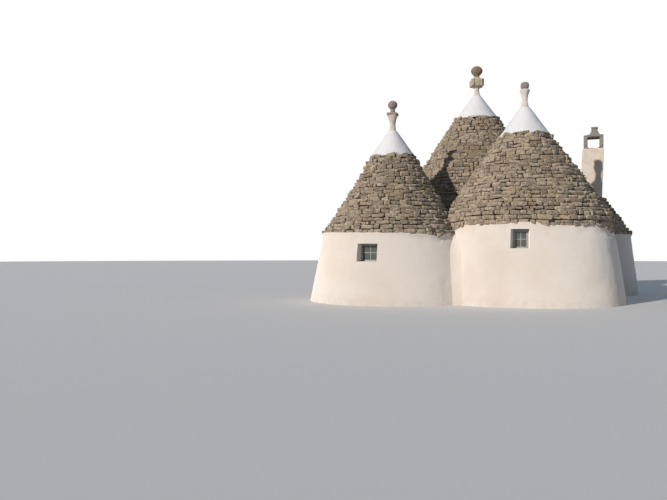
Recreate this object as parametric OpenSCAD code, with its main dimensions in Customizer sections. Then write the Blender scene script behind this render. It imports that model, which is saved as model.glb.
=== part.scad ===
/* [Plan] */
// Left trullo, centre across from the right one
left_x = -4320; // [-4500:10:-4200]
// Left trullo, centre towards the viewer
left_y = -800; // [-900:10:-700]
// Rear trullo, centre across from the right one
rear_x = -1880; // [-1950:10:-1800]
// Rear trullo, centre behind the right one
rear_y = 3710; // [3650:10:3780]
// Fireplace alcove, centre across from the right trullo
alcove_x = 2430; // [2400:10:2480]
// Fireplace alcove, centre behind the right trullo
alcove_y = 4950; // [4900:10:5000]

/* [Right trullo] */
// Radius of the room
right_room_r = 1450; // [1400:10:1500]
// Top of the drum wall, where the roof starts
right_wall_h = 2470; // [2400:10:2500]
// Radius of the lowest roof course
right_eave_r = 2800; // [2760:10:2840]
// Spread of the drum wall at the ground
right_batter = 380; // [300:10:420]
// Height at which the roof's sides would meet
right_apex = 6695; // [6600:5:6740]
// Run of the roof for each unit of rise
right_slope = 0.697; // [0.68:0.001:0.71]
// Number of roof courses
right_courses = 23; // [18:1:26]
// Radius of the circle that gives this roof's valleys
right_reach = 2850; // [2800:10:2900]

/* [Left trullo] */
// Radius of the room
left_room_r = 1400; // [1350:10:1450]
// Top of the drum wall
left_wall_h = 2220; // [2150:10:2260]
// Radius of the lowest roof course
left_eave_r = 2420; // [2380:10:2460]
// Spread of the drum wall at the ground
left_batter = 460; // [380:10:500]
// Height at which the roof's sides would meet
left_apex = 6690; // [6640:5:6740]
// Run of the roof for each unit of rise, at its top
left_slope = 0.35; // [0.34:0.005:0.36]
// Outward flare of the roof for each metre down from its apex
left_flare = 0.0432; // [0.040:0.0001:0.044]
// Number of roof courses
left_courses = 21; // [16:1:24]
// Radius of the circle that gives this roof's valleys
left_reach = 2260; // [2200:10:2320]

/* [Rear trullo] */
// Radius of the room
rear_room_r = 2100; // [2000:10:2150]
// Top of the drum wall
rear_wall_h = 2880; // [2800:10:2940]
// Radius of the lowest roof course
rear_eave_r = 3500; // [3460:10:3540]
// Spread of the drum wall at the ground
rear_batter = 400; // [320:10:440]
// Height at which the roof's sides would meet
rear_apex = 8155; // [8100:5:8200]
// Run of the roof for each unit of rise
rear_slope = 0.669; // [0.66:0.001:0.68]
// Number of roof courses
rear_courses = 30; // [24:1:34]
// Radius of the circle that gives this roof's valleys
rear_reach = 3450; // [3420:10:3480]

/* [Fireplace alcove] */
// Radius of the alcove inside
alcove_room_r = 700; // [660:10:740]
// Top of the alcove wall
alcove_wall_h = 2290; // [2250:10:2330]
// Radius of the lowest roof course
alcove_eave_r = 1490; // [1460:10:1520]
// Spread of the wall at the ground
alcove_batter = 300; // [240:10:340]
// Top of the alcove's roof, where the chimney stands
alcove_roof_top = 3770; // [3720:10:3820]
// Radius of the flat top of the alcove's roof
alcove_top_r = 510; // [490:10:540]
// Number of roof courses
alcove_courses = 11; // [9:1:13]
// Radius of the circle that gives this roof's valleys
alcove_reach = 1150; // [1100:10:1200]

/* [Caps and pinnacles] */
// Lower edge of the right plaster cap
right_cap_z = 5460; // [5400:10:5520]
// Radius of the right plaster cap at its lower edge
right_cap_r = 875; // [860:5:890]
// Top of the right plaster cap
right_cap_top = 6455; // [6420:5:6490]
// Lower edge of the left plaster cap
left_cap_z = 4880; // [4820:10:4940]
// Radius of the left plaster cap at its lower edge
left_cap_r = 770; // [755:5:785]
// Top of the left plaster cap
left_cap_top = 5765; // [5730:5:5800]
// Lower edge of the rear plaster cap
rear_cap_z = 6930; // [6870:10:6990]
// Radius of the rear plaster cap at its lower edge
rear_cap_r = 805; // [790:5:820]
// Top of the rear plaster cap
rear_cap_top = 7820; // [7790:5:7850]
// Top of the right pinnacle's vase
right_vase_top = 7050; // [7020:5:7080]
// Radius of the right pinnacle's ball
right_ball_r = 142; // [135:1:150]
// Underside of the left pinnacle's square slab
left_slab_z = 6290; // [6250:5:6330]
// Width of the left pinnacle's square slab
left_slab_w = 370; // [350:10:390]
// Radius of the left pinnacle's ball
left_ball_r = 165; // [155:1:175]
// Underside of the rear pinnacle's cross
rear_cross_z = 8105; // [8070:5:8140]
// Width of the cross over its arms
rear_cross_w = 590; // [560:10:620]
// Height of the cross
rear_cross_h = 435; // [410:5:460]
// Radius of the rear pinnacle's ball
rear_ball_r = 233; // [220:1:245]

/* [Chimney] */
// Width of the chimney stack at its foot
stack_foot_w = 820; // [800:5:840]
// Width of the chimney stack at its top
stack_w = 775; // [755:5:795]
// Width of the flue
flue_w = 400; // [360:10:440]
// Top of the chimney stack
stack_top = 5675; // [5640:5:5710]
// How far the stack's top stands to the right of its foot
stack_lean = 85; // [70:5:100]
// Width of the corner posts of the hood
hood_post_w = 140; // [120:5:160]
// Height of the openings under the hood
hood_gap_h = 455; // [430:5:480]
// Width of the slab on the posts
hood_slab_w = 720; // [700:5:740]
// How far the hood stands to the right of the stack's foot
hood_shift = 98; // [85:1:110]
// How far the finial stands to the right of the stack's foot
finial_shift = 138; // [125:1:150]
// Top of the chimney's finial
finial_top = 6580; // [6550:5:6600]
// Turn of the chimney in plan
chimney_turn = -4.5; // [-8:0.5:0]

/* [Windows, passages and door] */
// Width of a window opening in the outside face
window_w = 540; // [500:10:580]
// Height of a window opening
window_h = 600; // [560:10:620]
// Width of a window between its reveals
window_pane_w = 430; // [400:10:450]
// Width of the left window opening in the outside face
left_window_w = 650; // [620:10:680]
// Width of the left window between its reveals
left_window_pane_w = 540; // [500:10:560]
// Depth of a window pane behind the outside face
window_depth = 300; // [250:10:350]
// Sill of the right window
right_sill_z = 1690; // [1660:10:1720]
// Sill of the left window
left_sill_z = 1290; // [1250:10:1330]
// Sill of the rear window
rear_sill_z = 1600; // [1550:10:1700]
// Width of the arched passages between the rooms
passage_w = 840; // [780:10:880]
// Height of the passages to the springing of their arches
passage_spring = 1480; // [1450:10:1500]
// Width of the doorway
door_w = 940; // [900:10:980]
// Height of the doorway to the springing of its arch
door_spring = 1560; // [1520:10:1600]
// Thickness of the floor
floor_t = 120; // [100:10:140]

/* [Hidden] */
$fn = 240;
RIGHT = 0;
LEFT = 1;
REAR = 2;
ALCOVE = 3;

whitewash = [0.90, 0.85, 0.80];
lime_cap = [0.93, 0.92, 0.90];
roof_stone = [0.55, 0.49, 0.42];
dome_stone = [0.66, 0.60, 0.52];
pale_stone = [0.79, 0.76, 0.72];
brown_stone = [0.50, 0.44, 0.38];
hood_stone = [0.54, 0.53, 0.50];
floor_stone = [0.70, 0.66, 0.58];
frame_green = [0.62, 0.66, 0.60];
door_wood = [0.40, 0.30, 0.22];

eave_overhang = 60;
right_front_start = 232;
right_front_end = 300;
right_side_end = 35;
left_front_start = 225;
left_front_end = 300;
left_side_start = 125;
rear_left_start = 150;
rear_left_end = 212;
dome_t = 280;
dome_points = 8;
dome_rise_power = 1.5;
dome_head = 390;
dome_crown = 110;
course_jitter = 12;
room_cut_h = 4000;
far = 9000;
seam = 20;
alcove_flue_r = 280;
frame_bar = 50;
frame_t = 60;
pane_t = 8;
window_past = 300;
window_inside_past = 100;
right_cap_top_r = 155;
left_cap_top_r = 136;
rear_cap_top_r = 145;
vase_foot = 0.06;
vase_waist_low = 0.34;
vase_waist_high = 0.46;
vase_swell = 0.74;
vase_swell_share = 0.55;
vase_lip = 0.92;
right_vase_foot_r = 125;
right_vase_waist_r = 90;
right_vase_top_r = 165;
left_vase_foot_r = 115;
left_vase_waist_r = 95;
left_vase_top_r = 170;
left_slab_h = 90;
left_ball_lift = 210;
left_ball_neck_r = 85;
rear_neck_foot_r = 125;
rear_neck_top_r = 112;
cross_t = 150;
cross_turn = -30;
cross_end_half = 110;
cross_waist_half = 150;
cross_arm_low = 0.18;
cross_waist_low = 0.30;
rear_ball_neck_h = 86;
rear_ball_neck_r = 105;
rear_ball_flatten = 0.88;
ball_seat = 0.6;
ball_points = 12;
hood_slab_h = 115;
finial_foot_w = 390;
finial_neck_w = 220;
finial_slab_w = 255;
finial_slab_h = 40;
door_depth = 520;
door_frame_w = 70;
door_frame_t = 110;
door_leaf_t = 50;
door_leaf_inset = 30;
door_bearing = 300;
over_door_half = 40;

centres = [[0, 0], [left_x, left_y], [rear_x, rear_y], [alcove_x, alcove_y]];
reaches = [right_reach, left_reach, rear_reach, alcove_reach];
room_rs = [right_room_r, left_room_r, rear_room_r, alcove_room_r];
wall_hs = [right_wall_h, left_wall_h, rear_wall_h, alcove_wall_h];
eave_rs = [right_eave_r, left_eave_r, rear_eave_r, alcove_eave_r];
batters = [right_batter, left_batter, rear_batter, alcove_batter];
cap_zs = [right_cap_z, left_cap_z, rear_cap_z, alcove_roof_top];
course_counts = [right_courses, left_courses, rear_courses, alcove_courses];
neighbours = [[LEFT, REAR], [RIGHT, REAR], [RIGHT, LEFT, ALCOVE], [REAR]];
passages = [[RIGHT, LEFT], [RIGHT, REAR], [REAR, ALCOVE]];

function wall_top_r(i) = eave_rs[i] - eave_overhang;
function foot_r(i) = wall_top_r(i) + batters[i];
function outer_r(i, z) = wall_top_r(i) + batters[i] * (1 - z / wall_hs[i]);
function gap(i, j) = norm(centres[j] - centres[i]);
function bearing(i, j) = atan2(centres[j].y - centres[i].y, centres[j].x - centres[i].x);
function valley(i, j) = (gap(i, j) ^ 2 + reaches[i] ^ 2 - reaches[j] ^ 2) / (2 * gap(i, j));

x_low = min([for (i = [0 : 3]) centres[i].x - foot_r(i)]);
x_high = max([for (i = [0 : 3]) centres[i].x + foot_r(i)]);
y_low = min([for (i = [0 : 3]) centres[i].y - foot_r(i)]);
y_high = max([for (i = [0 : 3]) centres[i].y + foot_r(i)]);
house_shift = [-(x_low + x_high) / 2, -(y_low + y_high) / 2, 0];

right_window_turn = 268;
left_window_turn = 263.2;
rear_window_turn = 180;
door_turn = 90;

// Radius of a roof's outside at height z, straight or flaring, and no wider than its eave
function roof_r(i, z) =
    i == RIGHT ? min(right_eave_r, right_slope * (right_apex - z)) :
    i == REAR ? min(rear_eave_r, rear_slope * (rear_apex - z)) :
    i == LEFT ? min(left_eave_r, left_slope * (left_apex - z) + left_flare * (left_apex - z) ^ 2 / 1000) :
    alcove_top_r + (alcove_eave_r - alcove_top_r) * (alcove_roof_top - z) / (alcove_roof_top - alcove_wall_h);

// Radius of a corbelled dome's inside, s above its spring, closing at height rise
function corbel_r(room_r, s, rise) = room_r * (1 - (s / rise) ^ dome_rise_power);
function dome_rise(i) = cap_zs[i] - dome_head - wall_hs[i];

module at(i) {
    translate(house_shift + [centres[i].x, centres[i].y, 0])
        children();
}

// Everything past the valley between trullo i and its neighbour j
module past_valley(i, j) {
    rotate([0, 0, bearing(i, j)])
        translate([valley(i, j), -far, -seam])
            cube([far, 2 * far, far + far]);
}

module within_valleys(i) {
    difference() {
        children();
        for (j = neighbours[i])
            past_valley(i, j);
    }
}

// Arched opening: axis along +X from x0 to x1, standing on the ground
module arch_cut(width, spring, x0, x1, base = -seam) {
    translate([x0, 0, 0])
        rotate([90, 0, 90])
            linear_extrude(x1 - x0)
                union() {
                    translate([-width / 2, base])
                        square([width, spring - base]);
                    translate([0, spring])
                        circle(d = width);
                }
}

// Passage from the room of trullo i towards that of trullo j
module passage_cut(i, j) {
    rotate([0, 0, bearing(i, j)])
        arch_cut(passage_w, passage_spring, 0, gap(i, j));
}

// Window opening through a wall: narrow at its pane and splayed both ways
module window_cut(i, turn, sill_z, face_w = window_w, pane_w = window_pane_w) {
    face = outer_r(i, sill_z + window_h);
    pane_x = face - window_depth;
    inside_x = room_rs[i] - window_inside_past;
    spread = (face_w - pane_w) / 2 * window_past / window_depth;
    rotate([0, 0, turn])
        translate([0, 0, sill_z])
            linear_extrude(window_h)
                polygon([
                    [pane_x, -pane_w / 2],
                    [face + window_past, -face_w / 2 - spread],
                    [face + window_past, face_w / 2 + spread],
                    [pane_x, pane_w / 2],
                    [inside_x, face_w / 2],
                    [inside_x, -face_w / 2]
                ]);
}

// Piece of a battered drum wall from bearing a0 to a1
module drum_arc(i, a0, a1) {
    within_valleys(i)
        rotate([0, 0, a0])
            rotate_extrude(angle = a1 - a0)
                polygon([
                    [room_rs[i], 0],
                    [foot_r(i), 0],
                    [wall_top_r(i), wall_hs[i]],
                    [room_rs[i], wall_hs[i]]
                ]);
}

module right_wall_front() {
    color(whitewash)
        at(RIGHT)
            difference() {
                drum_arc(RIGHT, right_front_start, right_front_end);
                window_cut(RIGHT, right_window_turn, right_sill_z);
            }
}

module right_wall_side() {
    color(whitewash)
        at(RIGHT)
            drum_arc(RIGHT, right_front_end - 360, right_side_end);
}

module right_wall_back() {
    color(whitewash)
        at(RIGHT)
            difference() {
                drum_arc(RIGHT, right_side_end, bearing(RIGHT, REAR));
                passage_cut(RIGHT, REAR);
            }
}

module right_wall_inner() {
    color(whitewash)
        at(RIGHT)
            difference() {
                drum_arc(RIGHT, bearing(RIGHT, REAR), 360 + bearing(RIGHT, LEFT));
                passage_cut(RIGHT, REAR);
                passage_cut(RIGHT, LEFT);
            }
}

module right_wall_left() {
    color(whitewash)
        at(RIGHT)
            difference() {
                drum_arc(RIGHT, 360 + bearing(RIGHT, LEFT), right_front_start);
                passage_cut(RIGHT, LEFT);
            }
}

module left_wall_front() {
    color(whitewash)
        at(LEFT)
            difference() {
                drum_arc(LEFT, left_front_start, left_front_end);
                window_cut(LEFT, left_window_turn, left_sill_z, left_window_w, left_window_pane_w);
            }
}

module left_wall_right() {
    color(whitewash)
        at(LEFT)
            difference() {
                drum_arc(LEFT, left_front_end - 360, bearing(LEFT, RIGHT));
                passage_cut(LEFT, RIGHT);
            }
}

module left_wall_back() {
    color(whitewash)
        at(LEFT)
            difference() {
                drum_arc(LEFT, bearing(LEFT, RIGHT), left_side_start);
                passage_cut(LEFT, RIGHT);
            }
}

module left_wall_side() {
    color(whitewash)
        at(LEFT)
            drum_arc(LEFT, left_side_start, left_front_start);
}

// What the doorway takes out of the rear wall: its opening, and the masonry over it, which bears on both sides
module doorway_strip() {
    rotate([0, 0, door_turn])
        union() {
            translate([0, -door_w / 2, -seam])
                cube([far / 2, door_w, door_spring + 2 * seam]);
            over_door_block();
        }
}

module over_door_block() {
    block_w = door_w + 2 * door_bearing;
    translate([0, -block_w / 2, door_spring])
        cube([far / 2, block_w, room_cut_h]);
}

module rear_wall_back_right() {
    color(whitewash)
        at(REAR)
            difference() {
                drum_arc(REAR, bearing(REAR, ALCOVE), door_turn);
                doorway_strip();
                passage_cut(REAR, ALCOVE);
            }
}

module rear_wall_back_left() {
    color(whitewash)
        at(REAR)
            difference() {
                drum_arc(REAR, door_turn, rear_left_start);
                doorway_strip();
            }
}

module rear_wall_left() {
    color(whitewash)
        at(REAR)
            difference() {
                drum_arc(REAR, rear_left_start, rear_left_end);
                window_cut(REAR, rear_window_turn, rear_sill_z);
            }
}

module rear_wall_inner_left() {
    color(whitewash)
        at(REAR)
            difference() {
                drum_arc(REAR, rear_left_end, 360 + bearing(REAR, RIGHT));
                passage_cut(REAR, RIGHT);
            }
}

module rear_wall_inner_right() {
    color(whitewash)
        at(REAR)
            difference() {
                drum_arc(REAR, bearing(REAR, RIGHT), bearing(REAR, ALCOVE));
                passage_cut(REAR, RIGHT);
                passage_cut(REAR, ALCOVE);
            }
}

module rear_door_arch() {
    color(whitewash)
        at(REAR)
            difference() {
                intersection() {
                    drum_arc(REAR, door_turn - over_door_half, door_turn + over_door_half);
                    rotate([0, 0, door_turn])
                        over_door_block();
                }
                rotate([0, 0, door_turn])
                    arch_cut(door_w, door_spring, 0, far / 2);
            }
}

module alcove_wall() {
    color(whitewash)
        at(ALCOVE)
            difference() {
                drum_arc(ALCOVE, 0, 360);
                passage_cut(ALCOVE, REAR);
            }
}

// Paving of the rooms and of the passages between them, in one level
module floor() {
    color(floor_stone)
        translate(house_shift)
            linear_extrude(floor_t)
                union() {
                    for (i = [RIGHT, LEFT, REAR, ALCOVE])
                        translate(centres[i])
                            circle(r = room_rs[i]);
                    for (p = passages)
                        let (i = p[0], j = p[1], inside = room_rs[i] / 2)
                            translate(centres[i])
                                rotate([0, 0, bearing(i, j)])
                                    translate([inside, -passage_w / 2])
                                        square([gap(i, j) - inside - room_rs[j] / 2, passage_w]);
                }
}

// Corbelled dome: an ogive shell of stone rings over one room
module dome(i) {
    rise = dome_rise(i);
    inside = [
        for (k = [0 : dome_points])
            [corbel_r(room_rs[i], k * rise / dome_points, rise), wall_hs[i] + k * rise / dome_points]
    ];
    color(dome_stone)
        at(i)
            within_valleys(i)
                rotate_extrude()
                    polygon(concat(inside, dome_back(i)));
}

// Points of the dome's outside, from its crown down to its spring
function dome_back(i) = [
    for (k = [dome_points : -1 : 0])
        let (rise = dome_rise(i) + dome_crown)
            [
                corbel_r(room_rs[i] + dome_t, k * rise / dome_points, rise),
                wall_hs[i] + k * rise / dome_points
            ]
];

module right_dome() {
    dome(RIGHT);
}

module left_dome() {
    dome(LEFT);
}

module rear_dome() {
    dome(REAR);
}

// Stepped outside of a roof: each course is a ring of flat stones set back from the one below
function course_points(i) = [
    for (k = [0 : course_counts[i] - 1])
        let (
            h = (cap_zs[i] - wall_hs[i]) / course_counts[i],
            z = wall_hs[i] + k * h,
            r = roof_r(i, z + h / 2) + course_jitter * sin(k * 137)
        )
            for (end = [0, 1])
                [min(r, eave_rs[i]), z + end * h]
];

module roof(i) {
    color(roof_stone)
        at(i)
            within_valleys(i)
                rotate_extrude()
                    polygon(concat(course_points(i), [[0, cap_zs[i]]], dome_back(i)));
}

module right_roof() {
    roof(RIGHT);
}

module left_roof() {
    roof(LEFT);
}

module rear_roof() {
    roof(REAR);
}

module alcove_roof() {
    color(roof_stone)
        at(ALCOVE)
            within_valleys(ALCOVE)
                rotate_extrude()
                    polygon(concat(
                        course_points(ALCOVE),
                        [[alcove_flue_r, alcove_roof_top], [alcove_room_r, alcove_wall_h]]
                    ));
}

// Plaster cap: a lime-washed cone that closes the roof and carries the pinnacle
module plaster_cap(i, base_r, top_r, top_z) {
    color(lime_cap)
        at(i)
            translate([0, 0, cap_zs[i]])
                cylinder(h = top_z - cap_zs[i], r1 = base_r, r2 = top_r);
}

module right_cap() {
    plaster_cap(RIGHT, right_cap_r, right_cap_top_r, right_cap_top);
}

module left_cap() {
    plaster_cap(LEFT, left_cap_r, left_cap_top_r, left_cap_top);
}

module rear_cap() {
    plaster_cap(REAR, rear_cap_r, rear_cap_top_r, rear_cap_top);
}

// Turned stone vase: base_r at the bottom, waist_r below its middle, top_r at the top
module vase(base_r, waist_r, top_r, z0, z1) {
    h = z1 - z0;
    rotate_extrude()
        polygon([
            [0, z0],
            [base_r, z0],
            [base_r, z0 + h * vase_foot],
            [waist_r, z0 + h * vase_waist_low],
            [waist_r, z0 + h * vase_waist_high],
            [waist_r + (top_r - waist_r) * vase_swell_share, z0 + h * vase_swell],
            [top_r, z0 + h * vase_lip],
            [top_r, z1],
            [0, z1]
        ]);
}

// Ball with a flat seat, flattened where asked
module stone_ball(r, z0, flatten = 1) {
    first = -acos(ball_seat);
    rotate_extrude()
        polygon(concat(
            [[0, z0]],
            [
                for (k = [0 : ball_points])
                    let (a = first + (90 - first) * k / ball_points)
                        [r * cos(a), z0 + r * flatten * (sin(a) - sin(first))]
            ]
        ));
}

module right_pinnacle_vase() {
    color(pale_stone)
        at(RIGHT)
            vase(right_vase_foot_r, right_vase_waist_r, right_vase_top_r, right_cap_top, right_vase_top);
}

module right_pinnacle_ball() {
    color(brown_stone)
        at(RIGHT)
            stone_ball(right_ball_r, right_vase_top);
}

module left_pinnacle_vase() {
    color(pale_stone)
        at(LEFT)
            vase(left_vase_foot_r, left_vase_waist_r, left_vase_top_r, left_cap_top, left_slab_z);
}

module left_pinnacle_slab() {
    color(pale_stone)
        at(LEFT)
            union() {
                square_block(left_slab_w, left_slab_z, left_slab_z + left_slab_h);
                translate([0, 0, left_slab_z])
                    cylinder(h = left_ball_lift, r = left_ball_neck_r);
            }
}

module left_pinnacle_ball() {
    color(brown_stone)
        at(LEFT)
            stone_ball(left_ball_r, left_slab_z + left_ball_lift);
}

module rear_pinnacle_neck() {
    color(pale_stone)
        at(REAR)
            translate([0, 0, rear_cap_top])
                cylinder(h = rear_cross_z - rear_cap_top, r1 = rear_neck_foot_r, r2 = rear_neck_top_r);
}

// One bar of the cross: waisted in the middle and flared at both ends
module cross_bar(turn) {
    half = rear_cross_w / 2;
    h = rear_cross_h;
    rotate([0, 0, turn])
        translate([0, cross_t / 2, rear_cross_z])
            rotate([90, 0, 0])
                linear_extrude(cross_t)
                    polygon([
                        [-cross_end_half, 0],
                        [cross_end_half, 0],
                        [cross_waist_half, h * cross_waist_low],
                        [half, h * cross_arm_low],
                        [half, h * (1 - cross_arm_low)],
                        [cross_waist_half, h * (1 - cross_waist_low)],
                        [cross_end_half, h],
                        [-cross_end_half, h],
                        [-cross_waist_half, h * (1 - cross_waist_low)],
                        [-half, h * (1 - cross_arm_low)],
                        [-half, h * cross_arm_low],
                        [-cross_waist_half, h * cross_waist_low]
                    ]);
}

module rear_pinnacle_cross() {
    color(pale_stone)
        at(REAR)
            union() {
                cross_bar(cross_turn);
                cross_bar(cross_turn + 90);
            }
}

module rear_pinnacle_ball() {
    z0 = rear_cross_z + rear_cross_h;
    color(brown_stone)
        at(REAR)
            union() {
                translate([0, 0, z0])
                    cylinder(h = rear_ball_neck_h + seam, r = rear_ball_neck_r);
                stone_ball(rear_ball_r, z0 + rear_ball_neck_h, rear_ball_flatten);
            }
}

module chimney_place() {
    at(ALCOVE)
        rotate([0, 0, chimney_turn])
            children();
}

// Square block with its middle at x
module square_block(width, z0, z1, x = 0) {
    translate([x - width / 2, -width / 2, z0])
        cube([width, width, z1 - z0]);
}

// Square block that narrows upwards, its middle going from foot_x to top_x
module tapered_block(foot_w, top_w, z0, z1, foot_x = 0, top_x = 0) {
    intersection() {
        translate([0, foot_w / 2, 0])
            rotate([90, 0, 0])
                linear_extrude(foot_w)
                    taper_outline(foot_w, top_w, z0, z1, foot_x, top_x);
        translate([foot_x - foot_w, 0, 0])
            rotate([90, 0, 90])
                linear_extrude(2 * foot_w)
                    taper_outline(foot_w, top_w, z0, z1);
    }
}

module taper_outline(foot_w, top_w, z0, z1, foot_x = 0, top_x = 0) {
    polygon([
        [foot_x - foot_w / 2, z0],
        [foot_x + foot_w / 2, z0],
        [top_x + top_w / 2, z1],
        [top_x - top_w / 2, z1]
    ]);
}

// Stack: a leaning square shaft round an upright flue
module chimney_stack() {
    color(whitewash)
        chimney_place()
            difference() {
                tapered_block(stack_foot_w, stack_w, alcove_roof_top, stack_top, 0, stack_lean);
                square_block(flue_w, alcove_roof_top - seam, stack_top + seam);
            }
}

module chimney_posts() {
    inner = hood_slab_w / 2 - hood_post_w;
    color(hood_stone)
        chimney_place()
            for (x = [-1, 1], y = [-1, 1])
                translate([
                    hood_shift + (x > 0 ? inner : -inner - hood_post_w),
                    y > 0 ? inner : -inner - hood_post_w,
                    stack_top
                ])
                    cube([hood_post_w, hood_post_w, hood_gap_h]);
}

// Hood: one flat slab on the corner posts
module chimney_hood() {
    slab_z = stack_top + hood_gap_h;
    color(hood_stone)
        chimney_place()
            square_block(hood_slab_w, slab_z, slab_z + hood_slab_h, hood_shift);
}

// Finial: a low tapered block with a small slab on it
module chimney_finial() {
    z0 = stack_top + hood_gap_h + hood_slab_h;
    slab_z = finial_top - finial_slab_h;
    color(hood_stone)
        chimney_place()
            union() {
                tapered_block(finial_foot_w, finial_neck_w, z0, slab_z, finial_shift, finial_shift);
                square_block(finial_slab_w, slab_z, finial_top, finial_shift);
            }
}

// Places what its children make, drawn on the X axis, at a window's pane
module at_window(i, turn, sill_z) {
    at(i)
        rotate([0, 0, turn])
            translate([outer_r(i, sill_z + window_h) - window_depth, 0, sill_z])
                children();
}

module window_frame(pane_w = window_pane_w) {
    inner_w = pane_w - 2 * frame_bar;
    inner_h = window_h - 2 * frame_bar;
    difference() {
        translate([-frame_t / 2, -pane_w / 2, 0])
            cube([frame_t, pane_w, window_h]);
        translate([-frame_t, -inner_w / 2, frame_bar])
            cube([2 * frame_t, inner_w, inner_h]);
    }
}

module window_pane(pane_w = window_pane_w) {
    inner_w = pane_w - 2 * frame_bar;
    inner_h = window_h - 2 * frame_bar;
    translate([-pane_t / 2, -inner_w / 2, frame_bar])
        cube([pane_t, inner_w, inner_h]);
}

module window_frames() {
    color(frame_green) {
        at_window(RIGHT, right_window_turn, right_sill_z)
            window_frame();
        at_window(LEFT, left_window_turn, left_sill_z)
            window_frame(left_window_pane_w);
        at_window(REAR, rear_window_turn, rear_sill_z)
            window_frame();
    }
}

module window_panes() {
    color([0.35, 0.40, 0.42, 0.6]) {
        at_window(RIGHT, right_window_turn, right_sill_z)
            window_pane();
        at_window(LEFT, left_window_turn, left_sill_z)
            window_pane(left_window_pane_w);
        at_window(REAR, rear_window_turn, rear_sill_z)
            window_pane();
    }
}

// Places what its children make, drawn on the X axis, in the doorway
module at_door() {
    at(REAR)
        rotate([0, 0, door_turn])
            translate([outer_r(REAR, door_spring) - door_depth, 0, 0])
                children();
}

module door_frame() {
    color(door_wood)
        at_door()
            difference() {
                arch_cut(door_w, door_spring, 0, door_frame_t, floor_t);
                arch_cut(door_w - 2 * door_frame_w, door_spring, -seam, door_frame_t + seam, 0);
            }
}

module door_leaf() {
    color(door_wood)
        at_door()
            arch_cut(door_w - 2 * door_frame_w, door_spring, door_leaf_inset, door_leaf_inset + door_leaf_t, floor_t);
}

// Stone sill of the doorway, as deep as the wall
module door_sill() {
    color(floor_stone)
        at(REAR)
            difference() {
                intersection() {
                    rotate([0, 0, door_turn])
                        translate([0, -door_w / 2, 0])
                            cube([far / 2, door_w, floor_t]);
                    cylinder(h = floor_t, r = foot_r(REAR) - seam);
                }
                translate([0, 0, -seam])
                    cylinder(h = floor_t + 2 * seam, r = rear_room_r);
            }
}

right_wall_front();
right_wall_side();
right_wall_back();
right_wall_inner();
right_wall_left();
left_wall_front();
left_wall_right();
left_wall_back();
left_wall_side();
rear_wall_back_right();
rear_wall_back_left();
rear_wall_left();
rear_wall_inner_left();
rear_wall_inner_right();
rear_door_arch();
alcove_wall();
floor();
right_dome();
left_dome();
rear_dome();
right_roof();
left_roof();
rear_roof();
alcove_roof();
right_cap();
left_cap();
rear_cap();
right_pinnacle_vase();
right_pinnacle_ball();
left_pinnacle_vase();
left_pinnacle_slab();
left_pinnacle_ball();
rear_pinnacle_neck();
rear_pinnacle_cross();
rear_pinnacle_ball();
chimney_stack();
chimney_posts();
chimney_hood();
chimney_finial();
window_frames();
window_panes();
door_frame();
door_leaf();
door_sill();
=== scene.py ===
# %% [markdown]
# # A trullo house: three stone cones on one white base
#
# A trullo is a round room of thick masonry under a cone of flat limestone slabs, laid dry.
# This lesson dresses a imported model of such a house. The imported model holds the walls, domes
# and rooms at their real size; here each roof is laid again stone by stone, the walls get
# their soft lime wash, and the caps, pinnacles, chimney, windows and door get their finish.

import math
import random

import bmesh
import bpy
from mathutils import Matrix, Vector, noise


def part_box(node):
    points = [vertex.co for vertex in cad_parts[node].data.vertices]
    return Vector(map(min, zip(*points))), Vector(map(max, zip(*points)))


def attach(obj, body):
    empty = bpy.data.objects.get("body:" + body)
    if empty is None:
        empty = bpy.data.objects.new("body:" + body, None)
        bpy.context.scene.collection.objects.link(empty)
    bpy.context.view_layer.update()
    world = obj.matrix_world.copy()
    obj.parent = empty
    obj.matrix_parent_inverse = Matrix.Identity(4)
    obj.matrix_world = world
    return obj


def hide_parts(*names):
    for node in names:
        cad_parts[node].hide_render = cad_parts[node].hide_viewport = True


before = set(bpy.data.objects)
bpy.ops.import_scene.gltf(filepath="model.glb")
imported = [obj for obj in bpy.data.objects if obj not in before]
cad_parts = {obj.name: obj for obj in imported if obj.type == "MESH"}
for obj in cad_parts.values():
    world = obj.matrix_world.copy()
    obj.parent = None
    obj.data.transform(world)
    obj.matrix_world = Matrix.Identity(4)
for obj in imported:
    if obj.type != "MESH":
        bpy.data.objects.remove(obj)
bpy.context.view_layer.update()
noise.seed_set(1)

# %% [markdown]
# ## The plan
#
# Each trullo turns about its own upright axis, and each cap is centred on that axis, so the
# cap's box gives it. Wall tops and roof tops come from the frame too. The slope of each roof
# is a rule: so much run for each metre of fall below the point where its sides would meet.

# %% Describe a trullo
eave_overhang = 0.06


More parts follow.
